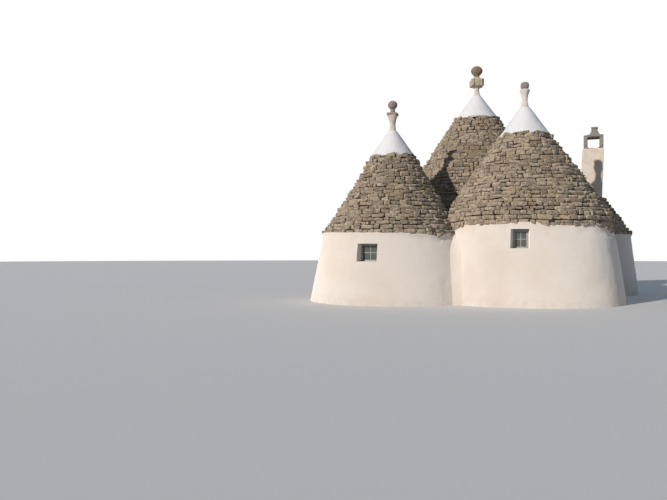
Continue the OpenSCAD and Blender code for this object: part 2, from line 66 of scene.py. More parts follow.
class Trullo:
    """One round room: its axis, its levels and the rule that gives its roof's radius."""

    def __init__(self, name, axis, wall_top, roof_top, eave_r, batter, room_r, reach, rule):
        self.name = name
        self.x, self.y = axis
        self.wall_top = wall_top
        self.roof_top = roof_top
        self.eave_r = eave_r
        self.batter = batter
        self.room_r = room_r
        self.reach = reach
        self.rule = rule
        self.neighbours = []

    def roof_r(self, z):
        """Radius of the roof's outside at height z."""
        return min(self.eave_r, self.rule(z))

    def wall_r(self, z):
        """Radius of the drum's outside at height z."""
        return self.eave_r - eave_overhang + self.batter * (1 - z / self.wall_top)

    def wall_top_r(self):
        return self.wall_r(self.wall_top)

    def at(self, radius, angle):
        """The place at a radius and a bearing."""
        return self.x + radius * math.cos(angle), self.y + radius * math.sin(angle)

    def angle_to(self, x, y):
        """The bearing of a place, from the east."""
        return math.atan2(y - self.y, x - self.x)

    def valley(self, other):
        """A point on the valley plane with a neighbour, and the plane's outward normal."""
        across = Vector((other.x - self.x, other.y - self.y, 0))
        gap = across.length
        out = (gap ** 2 + self.reach ** 2 - other.reach ** 2) / (2 * gap)
        return Vector((self.x, self.y, 0)) + across.normalized() * out, across.normalized()

    def before_valley(self, other, x, y):
        """How far a place lies on this trullo's side of the valley with a neighbour."""
        point, normal = self.valley(other)
        return -(Vector((x, y, 0)) - point).dot(normal)

    def inside(self, x, y, slack):
        """True where a place lies on this trullo's side of every valley."""
        return all(self.before_valley(other, x, y) > -slack for other in self.neighbours)


# %% Give each trullo its sizes
def middle_of(name):
    low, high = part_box(name)
    return (low[0] + high[0]) / 2, (low[1] + high[1]) / 2


def box_heights(name):
    low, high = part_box(name)
    return low[2], high[2]


def straight_cone(run, apex):
    """Rule of a roof with straight sides."""
    return lambda z: run * (apex - z)


def flared_cone(run, flare, apex):
    """Rule of a roof whose sides flatten out towards its eave."""
    return lambda z: run * (apex - z) + flare * (apex - z) ** 2


def large_trullo(name, **sizes):
    """A trullo whose axis and levels come from its packed cap and dome."""
    wall_top, roof_top = box_heights(f"{name}_dome")[0], box_heights(f"{name}_cap")[0]
    return Trullo(name, middle_of(f"{name}_cap"), wall_top, roof_top, **sizes)


right = large_trullo(
    "right", eave_r=2.80, batter=0.38, room_r=1.45, reach=2.85, rule=straight_cone(0.697, 6.695),
)
left = large_trullo(
    "left", eave_r=2.42, batter=0.46, room_r=1.40, reach=2.26, rule=flared_cone(0.35, 0.0432, 6.69),
)
rear = large_trullo(
    "rear", eave_r=3.50, batter=0.40, room_r=2.10, reach=3.45, rule=straight_cone(0.669, 8.155),
)

# %% [markdown]
# The fireplace alcove is a small trullo without a dome or a cap. Its roof ends flat under the
# chimney, so its rule runs from the radius at its eave to the radius at its top.

# %% Give the alcove its sizes
alcove_eave_r, alcove_top_r, alcove_batter = 1.49, 0.51, 0.30
alcove_wall_top, alcove_top = box_heights("alcove_roof")


def alcove_rule(z):
    run = (alcove_eave_r - alcove_top_r) * (alcove_top - z)
    return alcove_top_r + run / (alcove_top - alcove_wall_top)


alcove_foot_r = alcove_eave_r - eave_overhang + alcove_batter
alcove_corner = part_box("alcove_wall")[1]
alcove = Trullo(
    "alcove", (alcove_corner[0] - alcove_foot_r, alcove_corner[1] - alcove_foot_r),
    alcove_wall_top, alcove_top, alcove_eave_r, alcove_batter, room_r=0.70, reach=1.15,
    rule=alcove_rule,
)
right.neighbours = [left, rear]
left.neighbours = [right, rear]
rear.neighbours = [right, left, alcove]
alcove.neighbours = [rear]
for trullo in (right, left, rear, alcove):
    print(trullo.name, round(trullo.x, 3), round(trullo.y, 3), round(trullo.wall_top, 2))

# %% [markdown]
# ## The camera
#
# The photograph was taken at eye height, about 23 m in front of the right trullo, with the
# house well to the right of the middle of the picture. The lens follows from the width and
# the focal length of the picture, both in its own pixels.

# %% Place the camera
photo_width = 667
photo_focal_px = 660
sensor_width = 36.0
eye_height = 1.6
step_right, step_back = 0.328, 22.905
view_turn = math.radians(17)
view_rise = math.radians(0.26)

camera_data = bpy.data.cameras.new("camera")
camera_data.sensor_width = sensor_width
camera_data.lens = sensor_width * photo_focal_px / photo_width
camera = bpy.data.objects.new("camera", camera_data)
camera.location = (right.x + step_right, right.y - step_back, eye_height)
camera.rotation_euler = (math.pi / 2 + view_rise, 0, view_turn)
bpy.context.scene.collection.objects.link(camera)
bpy.context.scene.camera = camera
print("lens", round(camera_data.lens, 2), "mm at", [round(c, 2) for c in camera.location])

# %% [markdown]
# ## Shared helpers
#
# Every new piece goes through one helper, which turns a bmesh into an object at the origin,
# gives it its material and ties it to the frame. A second helper makes small lumps: it moves
# each corner of a mesh by smooth noise read at the corner's own place, so two pieces that
# touch are moved alike. Its seed is set once, above, so each run gives the same house.


# %% Turn a bmesh into a piece of the house
def add_piece(name, bm, material, replaced=(), sharp_angle=40):
    """Makes an object from bm, shades it, and ties it to the frame."""
    mesh = bpy.data.meshes.new(name)
    bm.to_mesh(mesh)
    bm.free()
    mesh.materials.append(material)
    mesh.shade_smooth()
    mesh.set_sharp_from_angle(angle=math.radians(sharp_angle))
    piece = bpy.data.objects.new(name, mesh)
    bpy.context.scene.collection.objects.link(piece)
    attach(piece, "root")
    if replaced:
        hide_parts(*replaced)
    print(name, len(mesh.polygons), "faces")


# %% Smooth noise
def lump(verts, size, depth, seed=0.0):
    """Moves verts by up to depth with lumps of about the given size."""
    shift = Vector((seed, seed * 0.7, seed * 1.3))
    for vert in verts:
        vert.co += noise.noise_vector(vert.co / size + shift) * depth


def wobble(x, y, z):
    """Smooth noise from -1 to 1 at a place."""
    return noise.noise(Vector((x, y, z)))


def ring_wobble(angle, waves, level):
    """The same noise, read round a circle, so that it meets itself after a full turn."""
    return wobble(math.cos(angle) * waves, math.sin(angle) * waves, level)


# %% Small sums
def clamp(value, low=0.0, high=1.0):
    return min(high, max(low, value))


def along_marks(marks, value):
    """Reads a broken line given as (place, height) marks."""
    if value <= marks[0][0]:
        return marks[0][1]
    for (x0, y0), (x1, y1) in zip(marks, marks[1:]):
        if value <= x1:
            return y0 + (y1 - y0) * (value - x0) / (x1 - x0)
    return marks[-1][1]


def ring_points(corners, cell):
    """The corners of a profile but the last, with points between them about one cell apart."""
    points = []
    for (r0, z0), (r1, z1) in zip(corners, corners[1:]):
        count = max(1, round(math.hypot(r1 - r0, z1 - z0) / cell))
        points += [(r0 + (r1 - r0) * k / count, z0 + (z1 - z0) * k / count) for k in range(count)]
    return points


# %% Spin a profile about a trullo's axis
axis_r = 0.01
weld_gap = 0.0002


def spin_profile(bm, points, trullo, steps):
    """Turns a closed profile of (radius, height) points round a trullo's upright axis."""
    verts = [bm.verts.new((trullo.x + r, trullo.y, z)) for r, z in points]
    edges = [bm.edges.new(pair) for pair in zip(verts, verts[1:] + verts[:1])]
    bmesh.ops.spin(
        bm, geom=verts + edges, cent=(trullo.x, trullo.y, 0), axis=(0, 0, 1),
        angle=2 * math.pi, steps=steps, use_merge=True,
    )
    bmesh.ops.remove_doubles(bm, verts=bm.verts, dist=weld_gap)
    bmesh.ops.recalc_face_normals(bm, faces=bm.faces)


# %% Add, cut and wear shapes
def add_shape(bm, source):
    """Adds the shape in another bmesh to bm, and frees the other one."""
    mesh = bpy.data.meshes.new("shape")
    source.to_mesh(mesh)
    source.free()
    bm.from_mesh(mesh)
    bpy.data.meshes.remove(mesh)


def cut_valleys(bm, trullo):
    """Cuts a closed shape at its trullo's valleys and closes the cuts."""
    for other in trullo.neighbours:
        point, normal = trullo.valley(other)
        cut = bmesh.ops.bisect_plane(
            bm, geom=bm.verts[:] + bm.edges[:] + bm.faces[:],
            plane_co=point, plane_no=normal, clear_outer=True,
        )
        rim = [item for item in cut["geom_cut"] if isinstance(item, bmesh.types.BMEdge)]
        open_rim = [edge for edge in rim if edge.is_boundary]
        if open_rim:
            bmesh.ops.triangle_fill(bm, edges=open_rim, use_beauty=True, normal=normal)


def new_edges(bm, before):
    """The edges of the vertices that weren't there before, in the mesh's own order."""
    return [edge for edge in bm.edges if edge.verts[0] not in before]


def sharp_edges(edges, limit):
    """The edges whose two faces turn from each other by more than a limit in radians."""
    return [edge for edge in edges if edge.calc_face_angle(0) > limit]


def wear_arrises(bm, edges, width, segments=2):
    """Bevels edges, as weather wears the arrises of stone and wood."""
    bmesh.ops.bevel(
        bm, geom=edges, offset=width, offset_type="OFFSET", affect="EDGES",
        segments=segments, profile=0.5, material=-1, clamp_overlap=True,
    )


# %% [markdown]
# ## Finishes
#
# Lime wash, limestone and painted wood are built from the same few nodes, so a small class
# adds each kind of node with one short call. Every pattern reads Object coordinates: it has
# its real size on each piece and stays on the piece in every view.


# %% Short calls for nodes
class Graph:
    """The nodes of a material, a group or a world, with calls that add one and give its output."""

    def __init__(self, tree):
        self.nodes = tree.nodes
        self.links = tree.links
        self.place = None

    def put(self, socket, value):
        """Fills a socket with another node's output, a colour or a number."""
        if isinstance(value, bpy.types.NodeSocket):
            self.links.new(value, socket)
        elif socket.type == "RGBA":
            socket.default_value = (*value, 1)
        else:
            socket.default_value = value

    def node(self, kind, inputs, **settings):
        """Adds a node, gives it its settings, and fills the inputs that are named."""
        node = self.nodes.new(f"ShaderNode{kind}")
        for name, value in settings.items():
            setattr(node, name, value)
        for name, value in inputs.items():
            self.put(node.inputs[name], value)
        return node

    def math(self, kind, a, b):
        return self.node("Math", {0: a, 1: b}, operation=kind).outputs[0]

    def remap(self, value, low, high, to_low=0.0, to_high=1.0):
        """Maps low to high smoothly onto another range, and holds its ends outside it."""
        inputs = {"Value": value, "From Min": low, "From Max": high, "To Min": to_low, "To Max": to_high}
        return self.node("MapRange", inputs, interpolation_type="SMOOTHSTEP").outputs["Result"]

    def mix(self, factor, a, b):
        return self.node("Mix", {"Factor": factor, "A": a, "B": b}, data_type="RGBA").outputs["Result"]

    def noise(self, scale, detail, rough, place=None):
        inputs = {"Vector": place or self.place, "Scale": scale, "Detail": detail, "Roughness": rough}
        return self.node("TexNoise", inputs).outputs["Fac"]

    def mapped(self, **mapping):
        """The place on the piece, moved or stretched: Location=..., Scale=..."""
        return self.node("Mapping", {"Vector": self.place, **mapping}).outputs[0]

    def attribute(self, name):
        return self.node("Attribute", {}, attribute_name=name).outputs["Fac"]

    def drift(self, base, patch, size, amount):
        """Lets a tone drift towards another in patches of about the given size."""
        inputs = {"Place": self.place, "Base": base, "Patch": patch, "Patch Size": size, "Amount": amount}
        return self.node("Group", inputs, node_tree=tone_drift).outputs["Color"]

    def bump(self, height, strength, distance, below=None):
        inputs = {"Height": height, "Strength": strength, "Distance": distance}
        if below is not None:
            inputs["Normal"] = below
        return self.node("Bump", inputs).outputs["Normal"]


# %% [markdown]
# Tones that drift over a surface are needed on nearly every finish, so this effect is one
# shader node group with named inputs, placed in each material with its own values.

# %% Group: tones that drift over a surface
drift_inputs = (
    ("Place", "NodeSocketVector", (0, 0, 0)),
    ("Base", "NodeSocketColor", (0.5, 0.5, 0.5, 1)),
    ("Patch", "NodeSocketColor", (0.4, 0.4, 0.4, 1)),
    ("Patch Size", "NodeSocketFloat", 1.0),
    ("Amount", "NodeSocketFloat", 0.5),
)


def build_drift():
    group = bpy.data.node_groups.new("tone_drift", "ShaderNodeTree")
    for name, kind, default in drift_inputs:
        group.interface.new_socket(name=name, in_out="INPUT", socket_type=kind).default_value = default
    group.interface.new_socket(name="Color", in_out="OUTPUT", socket_type="NodeSocketColor")
    graph = Graph(group)
    given = group.nodes.new("NodeGroupInput").outputs
    per_metre = graph.math("DIVIDE", 1.0, given["Patch Size"])
    scaled = graph.node("VectorMath", {"Vector": given["Place"], "Scale": per_metre}, operation="SCALE")
    patches = graph.noise(1.0, 5.0, 0.6, scaled.outputs["Vector"])
    strength = graph.math("MULTIPLY", graph.remap(patches, 0.42, 0.68), given["Amount"])
    tone = graph.mix(strength, given["Base"], given["Patch"])
    graph.links.new(tone, group.nodes.new("NodeGroupOutput").inputs["Color"])
    return group


tone_drift = build_drift()
print("group", tone_drift.name, len(tone_drift.nodes), "nodes")


# %% A material with its place on the piece
class Finish(Graph):
    """A material with one shader; what is the same all over is set on the shader's own sockets."""

    def __init__(self, name, color, roughness):
        self.material = bpy.data.materials.new(name)
        self.material.use_nodes = True
        super().__init__(self.material.node_tree)
        self.shader = self.nodes["Principled BSDF"]
        self.give("Base Color", color)
        self.give("Roughness", roughness)
        self.give("Specular IOR Level", 0.25)
        self.place = self.node("TexCoord", {}).outputs["Object"]

    def give(self, name, value):
        self.put(self.shader.inputs[name], value)

    def done(self, tone, normal, chalkiness=0.0):
        """Links the tone and the relief, and gives back the material."""
        self.give("Base Color", tone)
        self.give("Normal", normal)
        self.give("Diffuse Roughness", chalkiness)
        print("finish", self.material.name, len(self.nodes), "nodes")
        return self.material


# %% [markdown]
# ### Lime wash
#
# Many coats of lime over rough stone leave a soft, slightly lumpy white. Rain leaves faint
# grey runs under the eaves, and mud splashes the foot of the wall. Noise stretched upright
# gives the runs, and the height on the piece says where runs and splashes belong.


# %% Lime wash
def build_limewash(name, color, eave_z, grime=0.28, stain=None):
    finish = Finish(name, color, 0.9)
    warm = tuple(channel * factor for channel, factor in zip(color, (0.93, 0.89, 0.84)))
    dirt = (0.42, 0.37, 0.30)
    tone = finish.drift(color, warm, 1.3, 0.55)
    if stain:
        tone = finish.drift(tone, stain, 0.22, 0.5)
    height = finish.node("SeparateXYZ", {0: finish.place}).outputs["Z"]
    streaks = finish.noise(1.2, 5.0, 0.65, finish.mapped(Scale=(5.0, 5.0, 0.5)))
    under_eave = finish.remap(height, eave_z - 0.9, eave_z, 0.0, 0.5 * grime)
    runs = finish.math("MULTIPLY", finish.remap(streaks, 0.52, 0.78), under_eave)
    foot = finish.remap(height, 0.0, 0.45, 0.8 * grime, 0.0)
    splashes = finish.remap(finish.noise(6.0, 6.0, 0.7), 0.35, 0.65)
    mud = finish.math("MULTIPLY", foot, splashes)
    soiled = finish.mix(finish.math("MAXIMUM", runs, mud), tone, dirt)
    coarse = finish.bump(finish.noise(3.5, 3.0, 0.5), 0.5, 0.03)
    fine = finish.bump(finish.noise(28.0, 6.0, 0.65), 0.25, 0.004, coarse)
    return finish.done(soiled, fine, chalkiness=1.0)


whitewash_color = (0.79, 0.725, 0.665)
wall_white = {
    trullo.name: build_limewash(f"limewash_{trullo.name}", whitewash_color, trullo.wall_top)
    for trullo in (right, left, rear, alcove)
}
chimney_white = build_limewash(
    "limewash_chimney", (0.805, 0.735, 0.665), box_heights("chimney_stack")[1],
    grime=0.5, stain=(0.70, 0.56, 0.42),
)

# %% [markdown]
# ### Cap plaster
#
# The caps are smoother and whiter than the walls: they are floated on and limed each year.


# %% Cap plaster
def build_cap_plaster():
    color = (0.775, 0.76, 0.77)
    finish = Finish("cap_plaster", color, 0.85)
    tone = finish.drift(color, (0.73, 0.70, 0.69), 0.5, 0.5)
    coarse = finish.bump(finish.noise(6.0, 3.0, 0.5), 0.4, 0.012)
    return finish.done(tone, finish.bump(finish.noise(45.0, 5.0, 0.6), 0.2, 0.002, coarse))


cap_plaster = build_cap_plaster()

# %% [markdown]
# ### Roof limestone
#
# Each slab has weathered to its own grey-brown, so each stone carries a number for its tone,
# stored on its corners while it is laid, and the rubble core behind the stones a number below
# zero, which turns it almost black: painted shade for the deep joints. Moss, rust and lime
# drift over whole patches of the roof, and lichen adds small pale and dark spots.


# %% Roof limestone
def build_roof_stone():
    finish = Finish("roof_stone", (0.25, 0.20, 0.144), 0.95)
    dark, pale = (0.20, 0.160, 0.120), (0.61, 0.507, 0.398)
    grey, warm = (0.365, 0.32, 0.265), (0.47, 0.34, 0.22)
    tone = finish.attribute("stone_tone")
    hue = finish.mix(finish.attribute("stone_warmth"), grey, warm)
    stone = finish.mix(0.4, finish.mix(tone, dark, pale), hue)
    soot, moss, rust = (0.15, 0.126, 0.103), (0.40, 0.345, 0.15), (0.46, 0.33, 0.215)
    for patch, size, amount in ((soot, 0.15, 0.5), (moss, 0.24, 0.2), (rust, 0.35, 0.4)):
        stone = finish.drift(stone, patch, size, amount)
    pale_spots = finish.remap(finish.noise(15.0, 2.0, 0.5), 0.53, 0.62, 0.0, 0.46)
    stone = finish.mix(pale_spots, stone, (0.68, 0.585, 0.49))
    elsewhere = finish.mapped(Location=(7.0, 3.0, 5.0))
    dark_spots = finish.remap(finish.noise(18.0, 2.0, 0.5, elsewhere), 0.55, 0.63, 0.0, 0.50)
    stone = finish.mix(dark_spots, stone, (0.095, 0.082, 0.066))
    # Painted shade: the core, marked with a tone below zero, turns almost black, as the deep joints would be
    # in shade.
    joint_shade = finish.remap(tone, -0.4, -0.1, 1.0, 0.0)
    stone = finish.mix(joint_shade, stone, (0.035, 0.028, 0.022))
    pits = finish.node("TexVoronoi", {"Scale": 38.0, "Vector": finish.place}).outputs["Distance"]
    knobs = finish.bump(finish.noise(9.0, 4.0, 0.6), 0.8, 0.05)
    grain = finish.bump(finish.noise(22.0, 8.0, 0.7), 0.9, 0.022, knobs)
    return finish.done(stone, finish.bump(pits, 0.35, 0.006, grain), chalkiness=1.0)


roof_stone = build_roof_stone()


# %% [markdown]
# ### Carved and plain stone
#
# Pinnacles, the chimney's hood, the domes inside and the paving are limestone too, each of
# its own colour: one recipe with its own numbers.


# %% Carved stone
def build_stone(name, color, patch, patch_size, grain_depth):
    finish = Finish(name, color, 0.9)
    dark = tuple(channel * 0.45 for channel in color)
    spots = finish.remap(finish.noise(60.0, 4.0, 0.6), 0.60, 0.72, 0.0, 0.5)
    tone = finish.mix(spots, finish.drift(color, patch, patch_size, 0.7), dark)
    coarse = finish.bump(finish.noise(18.0, 6.0, 0.65), 0.7, grain_depth)
    fine = finish.bump(finish.noise(90.0, 4.0, 0.6), 0.4, grain_depth / 5, coarse)
    return finish.done(tone, fine, chalkiness=0.6)


vase_stone = build_stone("vase_stone", (0.73, 0.66, 0.635), (0.61, 0.555, 0.50), 0.14, 0.006)
pale_stone = build_stone("pale_stone", (0.70, 0.62, 0.525), (0.51, 0.43, 0.34), 0.14, 0.008)
slab_stone = build_stone("slab_stone", (0.38, 0.32, 0.24), (0.27, 0.22, 0.165), 0.12, 0.008)
neck_stone = build_stone("neck_stone", (0.70, 0.625, 0.60), (0.53, 0.46, 0.42), 0.12, 0.008)
cross_stone = build_stone("cross_stone", (0.57, 0.48, 0.36), (0.34, 0.27, 0.195), 0.12, 0.010)
brown_stone = build_stone("brown_stone", (0.335, 0.28, 0.25), (0.195, 0.156, 0.135), 0.12, 0.012)
rusty_stone = build_stone("rusty_stone", (0.24, 0.178, 0.125), (0.43, 0.27, 0.135), 0.16, 0.012)
hood_stone = build_stone("hood_stone", (0.31, 0.282, 0.24), (0.19, 0.17, 0.14), 0.15, 0.008)
post_stone = build_stone("post_stone", (0.33, 0.315, 0.28), (0.13, 0.118, 0.10), 0.11, 0.008)
dome_stone = build_stone("dome_stone", (0.42, 0.36, 0.28), (0.30, 0.25, 0.19), 0.3, 0.02)
floor_stone = build_stone("floor_stone", (0.45, 0.40, 0.32), (0.34, 0.30, 0.24), 0.4, 0.006)

# %% [markdown]
# ### Painted wood, glass and bare wood
#
# The small windows are painted a pale grey-green. Their glass is one dark, nearly opaque shader
# without a pattern: painted shade of the room behind it and a dull painted reflection. The door
# is bare wood, weathered along its grain: the same noise, stretched upright.


# %% Wood and glass
def build_wood(name, color, streak, grain_scale, roughness):
    finish = Finish(name, color, roughness)
    grain = finish.noise(8.0, 6.0, 0.6, finish.mapped(Scale=grain_scale))
    tone = finish.mix(finish.remap(grain, 0.40, 0.66), color, streak)
    return finish.done(tone, finish.bump(grain, 0.4, 0.003))


window_paint = build_wood("window_paint", (0.40, 0.44, 0.40), (0.30, 0.32, 0.28), (3, 3, 3), 0.6)
door_wood = build_wood("door_wood", (0.17, 0.105, 0.062), (0.085, 0.052, 0.032), (6, 6, 0.7), 0.75)

# Painted: the glass's dark grey-green, nearly opaque, stands for the shaded room behind it and a dull
# reflection.
dull_glass = Finish("window_glass", (0.105, 0.112, 0.100), 0.12)
dull_glass.give("Specular IOR Level", 0.5)
dull_glass.give("Alpha", 0.85)
window_glass = dull_glass.material
print("finish", window_glass.name)

# %% [markdown]
# ## The drum walls
#
# Each drum is a ring of masonry that leans inwards as it rises, cut where it meets its
# neighbours. Spinning one profile gives the ring; the valleys are plane cuts; and the
# openings are closed prisms taken away with the Boolean modifier. The ring is spun in small
# steps, so that noise can then give it the slow waves of hand-built masonry.

# %% Sizes of the openings
window_h, window_depth = 0.60, 0.30
window_foot = 0.05
door_turn = math.radians(90)
door_w, door_spring = 0.94, 1.56
passage_w, passage_spring = 0.84, 1.48
floor_top = box_heights("floor")[1]


class Window:
    """A small window: its trullo, its bearing, and its widths at the wall face and at the pane."""

    def __init__(self, trullo, degrees, sill, face_w, pane_w):
        self.trullo = trullo
        self.turn = math.radians(degrees)
        self.sill = sill
        self.face_w = face_w
        self.pane_w = pane_w
        self.face_r = trullo.wall_r(sill + window_h)
        self.pane_r = self.face_r - window_depth


windows = [
    Window(right, 268, 1.69, face_w=0.54, pane_w=0.43),
    Window(left, 263.2, 1.29, face_w=0.65, pane_w=0.61),
    Window(rear, 180, 1.60, face_w=0.54, pane_w=0.43),
]
print(len(windows), "windows")


# %% Prisms for the openings
def turned_to(trullo, turn):
    """Matrix from a local frame, with X pointing out along turn, to the house."""
    return Matrix.Translation((trullo.x, trullo.y, 0)) @ Matrix.Rotation(turn, 4, "Z")


def prism(bm, outline, push, matrix=Matrix.Identity(4)):
    """Closed prism: a flat outline of local points pushed along a local vector."""
    face = bm.faces.new([bm.verts.new(point) for point in outline])
    pushed = bmesh.ops.extrude_face_region(bm, geom=[face])["geom"]
    new_verts = [item for item in pushed if isinstance(item, bmesh.types.BMVert)]
    bmesh.ops.translate(bm, vec=push, verts=new_verts)
    bmesh.ops.transform(bm, matrix=matrix, verts=list(face.verts) + new_verts)


def window_hole(bm, window):
    """Splayed window opening: narrow at the pane, wider at both faces of the wall."""
    past = 0.30
    spread = (window.face_w - window.pane_w) / 2 * past / window_depth
    half, pane_half = window.face_w / 2, window.pane_w / 2
    inner_r = window.trullo.room_r - 0.1
    outline = [
        (window.pane_r, -pane_half), (window.face_r + past, -half - spread),
        (window.face_r + past, half + spread), (window.pane_r, pane_half),
        (inner_r, half), (inner_r, -half),
    ]
    points = [(x, y, window.sill + window_foot) for x, y in outline]
    prism(bm, points, (0, 0, window_h - window_foot), turned_to(window.trullo, window.turn))


def arch_points(width, spring, steps):
    """Points over an arch's head, from its right to its left, as (across, height)."""
    turns = [math.pi * k / steps for k in range(steps + 1)]
    return [(width / 2 * math.cos(turn), spring + width / 2 * math.sin(turn)) for turn in turns]


def arch_hole(bm, trullo, turn, width, spring, reach):
    """Arched opening from the middle of a room outwards, a little deeper than the ground."""
    foot = -0.05
    outline = [(-width / 2, foot), (width / 2, foot)] + arch_points(width, spring, 20)
    prism(bm, [(0, y, z) for y, z in outline], (reach, 0, 0), turned_to(trullo, turn))


# %% Cut a mesh with another
def boolean_cut(bm, cutter_bm):
    """Takes the closed shape in cutter_bm away from the closed shape in bm."""
    objects = []
    for name, source in (("cut_from", bm), ("cutter", cutter_bm)):
        bmesh.ops.recalc_face_normals(source, faces=source.faces)
        mesh = bpy.data.meshes.new(name)
        source.to_mesh(mesh)
        item = bpy.data.objects.new(name, mesh)
        bpy.context.scene.collection.objects.link(item)
        objects.append(item)
    modifier = objects[0].modifiers.new("cut", "BOOLEAN")
    modifier.operation = "DIFFERENCE"
    modifier.solver = "EXACT"
    modifier.object = objects[1]
    bpy.context.view_layer.update()
    depsgraph = bpy.context.evaluated_depsgraph_get()
    result = bpy.data.meshes.new_from_object(objects[0].evaluated_get(depsgraph))
    cutter_bm.free()
    bm.clear()
    bm.from_mesh(result)
    for item in objects:
        mesh = item.data
        bpy.data.objects.remove(item)
        bpy.data.meshes.remove(mesh)
    bpy.data.meshes.remove(result)


# %% [markdown]
# ### Where lime wash and stones meet
#
# The upper edge of the lime wash isn't level: it follows the lowest stones, which sag here and
# there and hang lower in the valleys. Walls and roofs read the same line, so they always meet.
# In front each mark is one point chosen in the photograph, as a bearing in radians and
# a height over the wall's top. Elsewhere the line is level but for a little noise.

# %% Where the lime wash ends and the stones start
front_edges = {
    "right": (
        (-2.50, -0.200), (-2.36, -0.086), (-2.22, 0.009), (-1.98, -0.012), (-1.77, -0.021), (-1.75, 0.026),
        (-1.36, 0.012), (-1.33, -0.070), (-0.97, -0.088), (-0.87, -0.090), (-0.81, -0.043), (-0.73, -0.053),
        (-0.67, -0.094), (-0.52, -0.144), (-0.37, -0.240), (-0.10, -0.200), (0.30, -0.080), (0.70, 0.0),
    ),
    "left": (
        (-3.00, 0.0), (-2.53, 0.039), (-2.03, 0.008), (-1.63, -0.007), (-1.16, -0.026), (-1.13, -0.057),
        (-0.90, -0.053), (-0.72, -0.155), (-0.53, 0.039), (0.20, 0.0),
    ),
}
level_edge = ((0.0, 0.0), (1.0, 0.0))
valley_marks = ((0.0, -0.13), (0.45, 0.0))


def stone_line(trullo, x, y):
    """Height of the stones' lower edge at a place on a drum: it drops towards each valley."""
    level = along_marks(front_edges.get(trullo.name, level_edge), trullo.angle_to(x, y))
    for other in trullo.neighbours:
        if {trullo, other} != {right, left}:
            level += along_marks(valley_marks, trullo.before_valley(other, x, y))
    level += wobble(x * 1.9, y * 1.9, 5.0) * 0.008 + wobble(x * 5.5, y * 5.5, 8.0) * 0.006
    return trullo.wall_top + level


def near_valley(trullo, x, y, reach):
    """Rises from 0 on a valley's plane to 1 a little way from it."""
    return clamp(min(trullo.before_valley(other, x, y) for other in trullo.neighbours) / reach)


# %% The lime wash's own relief
wave_depth, wave_fade = 0.021, 0.15
flare_out, flare_fade = 0.045, 0.6
flush_side = ((-1.6, flare_out), (-1.1, 0.0), (0.5, 0.0), (1.1, flare_out))


def drum_wave(trullo, x, y, z):
    """How far the lime-washed face stands in from its plain cone at a place."""
    depth = wobble(x * 1.3, y * 1.3, z * 1.6) * 0.5 + wobble(x * 3.7, y * 3.7, z * 4.1) * 0.2
    return (depth + 0.5) * wave_depth * near_valley(trullo, x, y, wave_fade)


def overhang(trullo, angle):
    """How far the lowest stones stand out from the wall: on the right trullo's east they are flush."""
    if trullo is right:
        return along_marks(flush_side, math.remainder(angle, math.tau))
    return flare_out


def edge_flare(trullo, x, y):
    """How far the lime wash is drawn out at its top edge, to the stones' faces."""
    return overhang(trullo, trullo.angle_to(x, y)) * near_valley(trullo, x, y, flare_fade)


# %% Soften one drum
lip_height = 0.02
flare_height = 0.13
shift_depth, shift_height = 0.45, 0.32


def soften_drum(bm, trullo):
    """Gives the drum's outside its waves, and draws its top edge along the stones' lower edge."""
    top = trullo.wall_top
    for vert in bm.verts:
        x, y, z = vert.co
        out = Vector((x - trullo.x, y - trullo.y, 0))
        inside = out.length < trullo.room_r + 0.2
        under_roof = top - 0.001 < z < top + lip_height - 0.001 and out.length < trullo.wall_top_r() - 0.02
        if inside or under_roof:
            continue
        rise = clamp((z - top + flare_height) / flare_height)
        push = edge_flare(trullo, x, y) * rise * rise - drum_wave(trullo, x, y, z) * (1 - rise)
        line = stone_line(trullo, x, y) - top + wobble(x * 7, y * 7, 2.0) * 0.010
        vert.co.z += line * clamp((z - top + shift_depth) / shift_height)
        vert.co += out.normalized() * push


# %% Build the drums
wall_cell, edge_cell = 0.11, 0.04
edge_band = 0.36
lip_width = 0.035


def drum_profile(trullo):
    """A drum's cross-section: battered face, fine band and thin lip at its edge, plain room side."""
    top, top_r = trullo.wall_top, trullo.wall_top_r()
    lip_top, lip_r = top + lip_height, top_r - lip_width
    band = (trullo.wall_r(top - edge_band), top - edge_band)
    face = [(trullo.room_r, 0), (trullo.wall_r(0), 0), band]
    edge = [band, (top_r, top), (top_r, lip_top)]
    back = [edge[-1], (lip_r, lip_top), (lip_r, top), (trullo.room_r, top), face[0]]
    return ring_points(face, wall_cell) + ring_points(edge, edge_cell) + ring_points(back, wall_cell)


def wall_openings(trullo, arches, doors):
    """One bmesh with the window and door holes of a drum, and one for each passage."""
    holes = bmesh.new()
    for window in windows:
        if window.trullo is trullo:
            window_hole(holes, window)
    for turn in doors:
        arch_hole(holes, trullo, turn, door_w, door_spring, trullo.wall_r(0) + 0.5)
    if holes.verts:
        yield holes
    else:
        holes.free()
    for other in arches:
        passage = bmesh.new()
        reach = math.hypot(other.x - trullo.x, other.y - trullo.y)
        arch_hole(passage, trullo, trullo.angle_to(other.x, other.y), passage_w, passage_spring, reach)
        yield passage


def build_drum(trullo, arches, doors, replaced):
    bm = bmesh.new()
    steps = round(2 * math.pi * trullo.eave_r / (wall_cell * 0.8))
    spin_profile(bm, drum_profile(trullo), trullo, steps)
    cut_valleys(bm, trullo)
    for cutter in wall_openings(trullo, arches, doors):
        boolean_cut(bm, cutter)
    bmesh.ops.triangulate(bm, faces=[face for face in bm.faces if len(face.verts) > 4])
    soften_drum(bm, trullo)
    add_piece(f"{trullo.name}_drum", bm, wall_white[trullo.name], replaced)


build_drum(
    right, [left, rear], [],
    ["right_wall_front", "right_wall_side", "right_wall_back", "right_wall_inner", "right_wall_left"],
)
build_drum(left, [right], [], ["left_wall_front", "left_wall_right", "left_wall_back", "left_wall_side"])
build_drum(
    rear, [right, alcove], [door_turn],
    ["rear_wall_back_right", "rear_wall_back_left", "rear_wall_left", "rear_wall_inner_left",
     "rear_wall_inner_right", "rear_door_arch"],
)
build_drum(alcove, [rear], [], ["alcove_wall"])

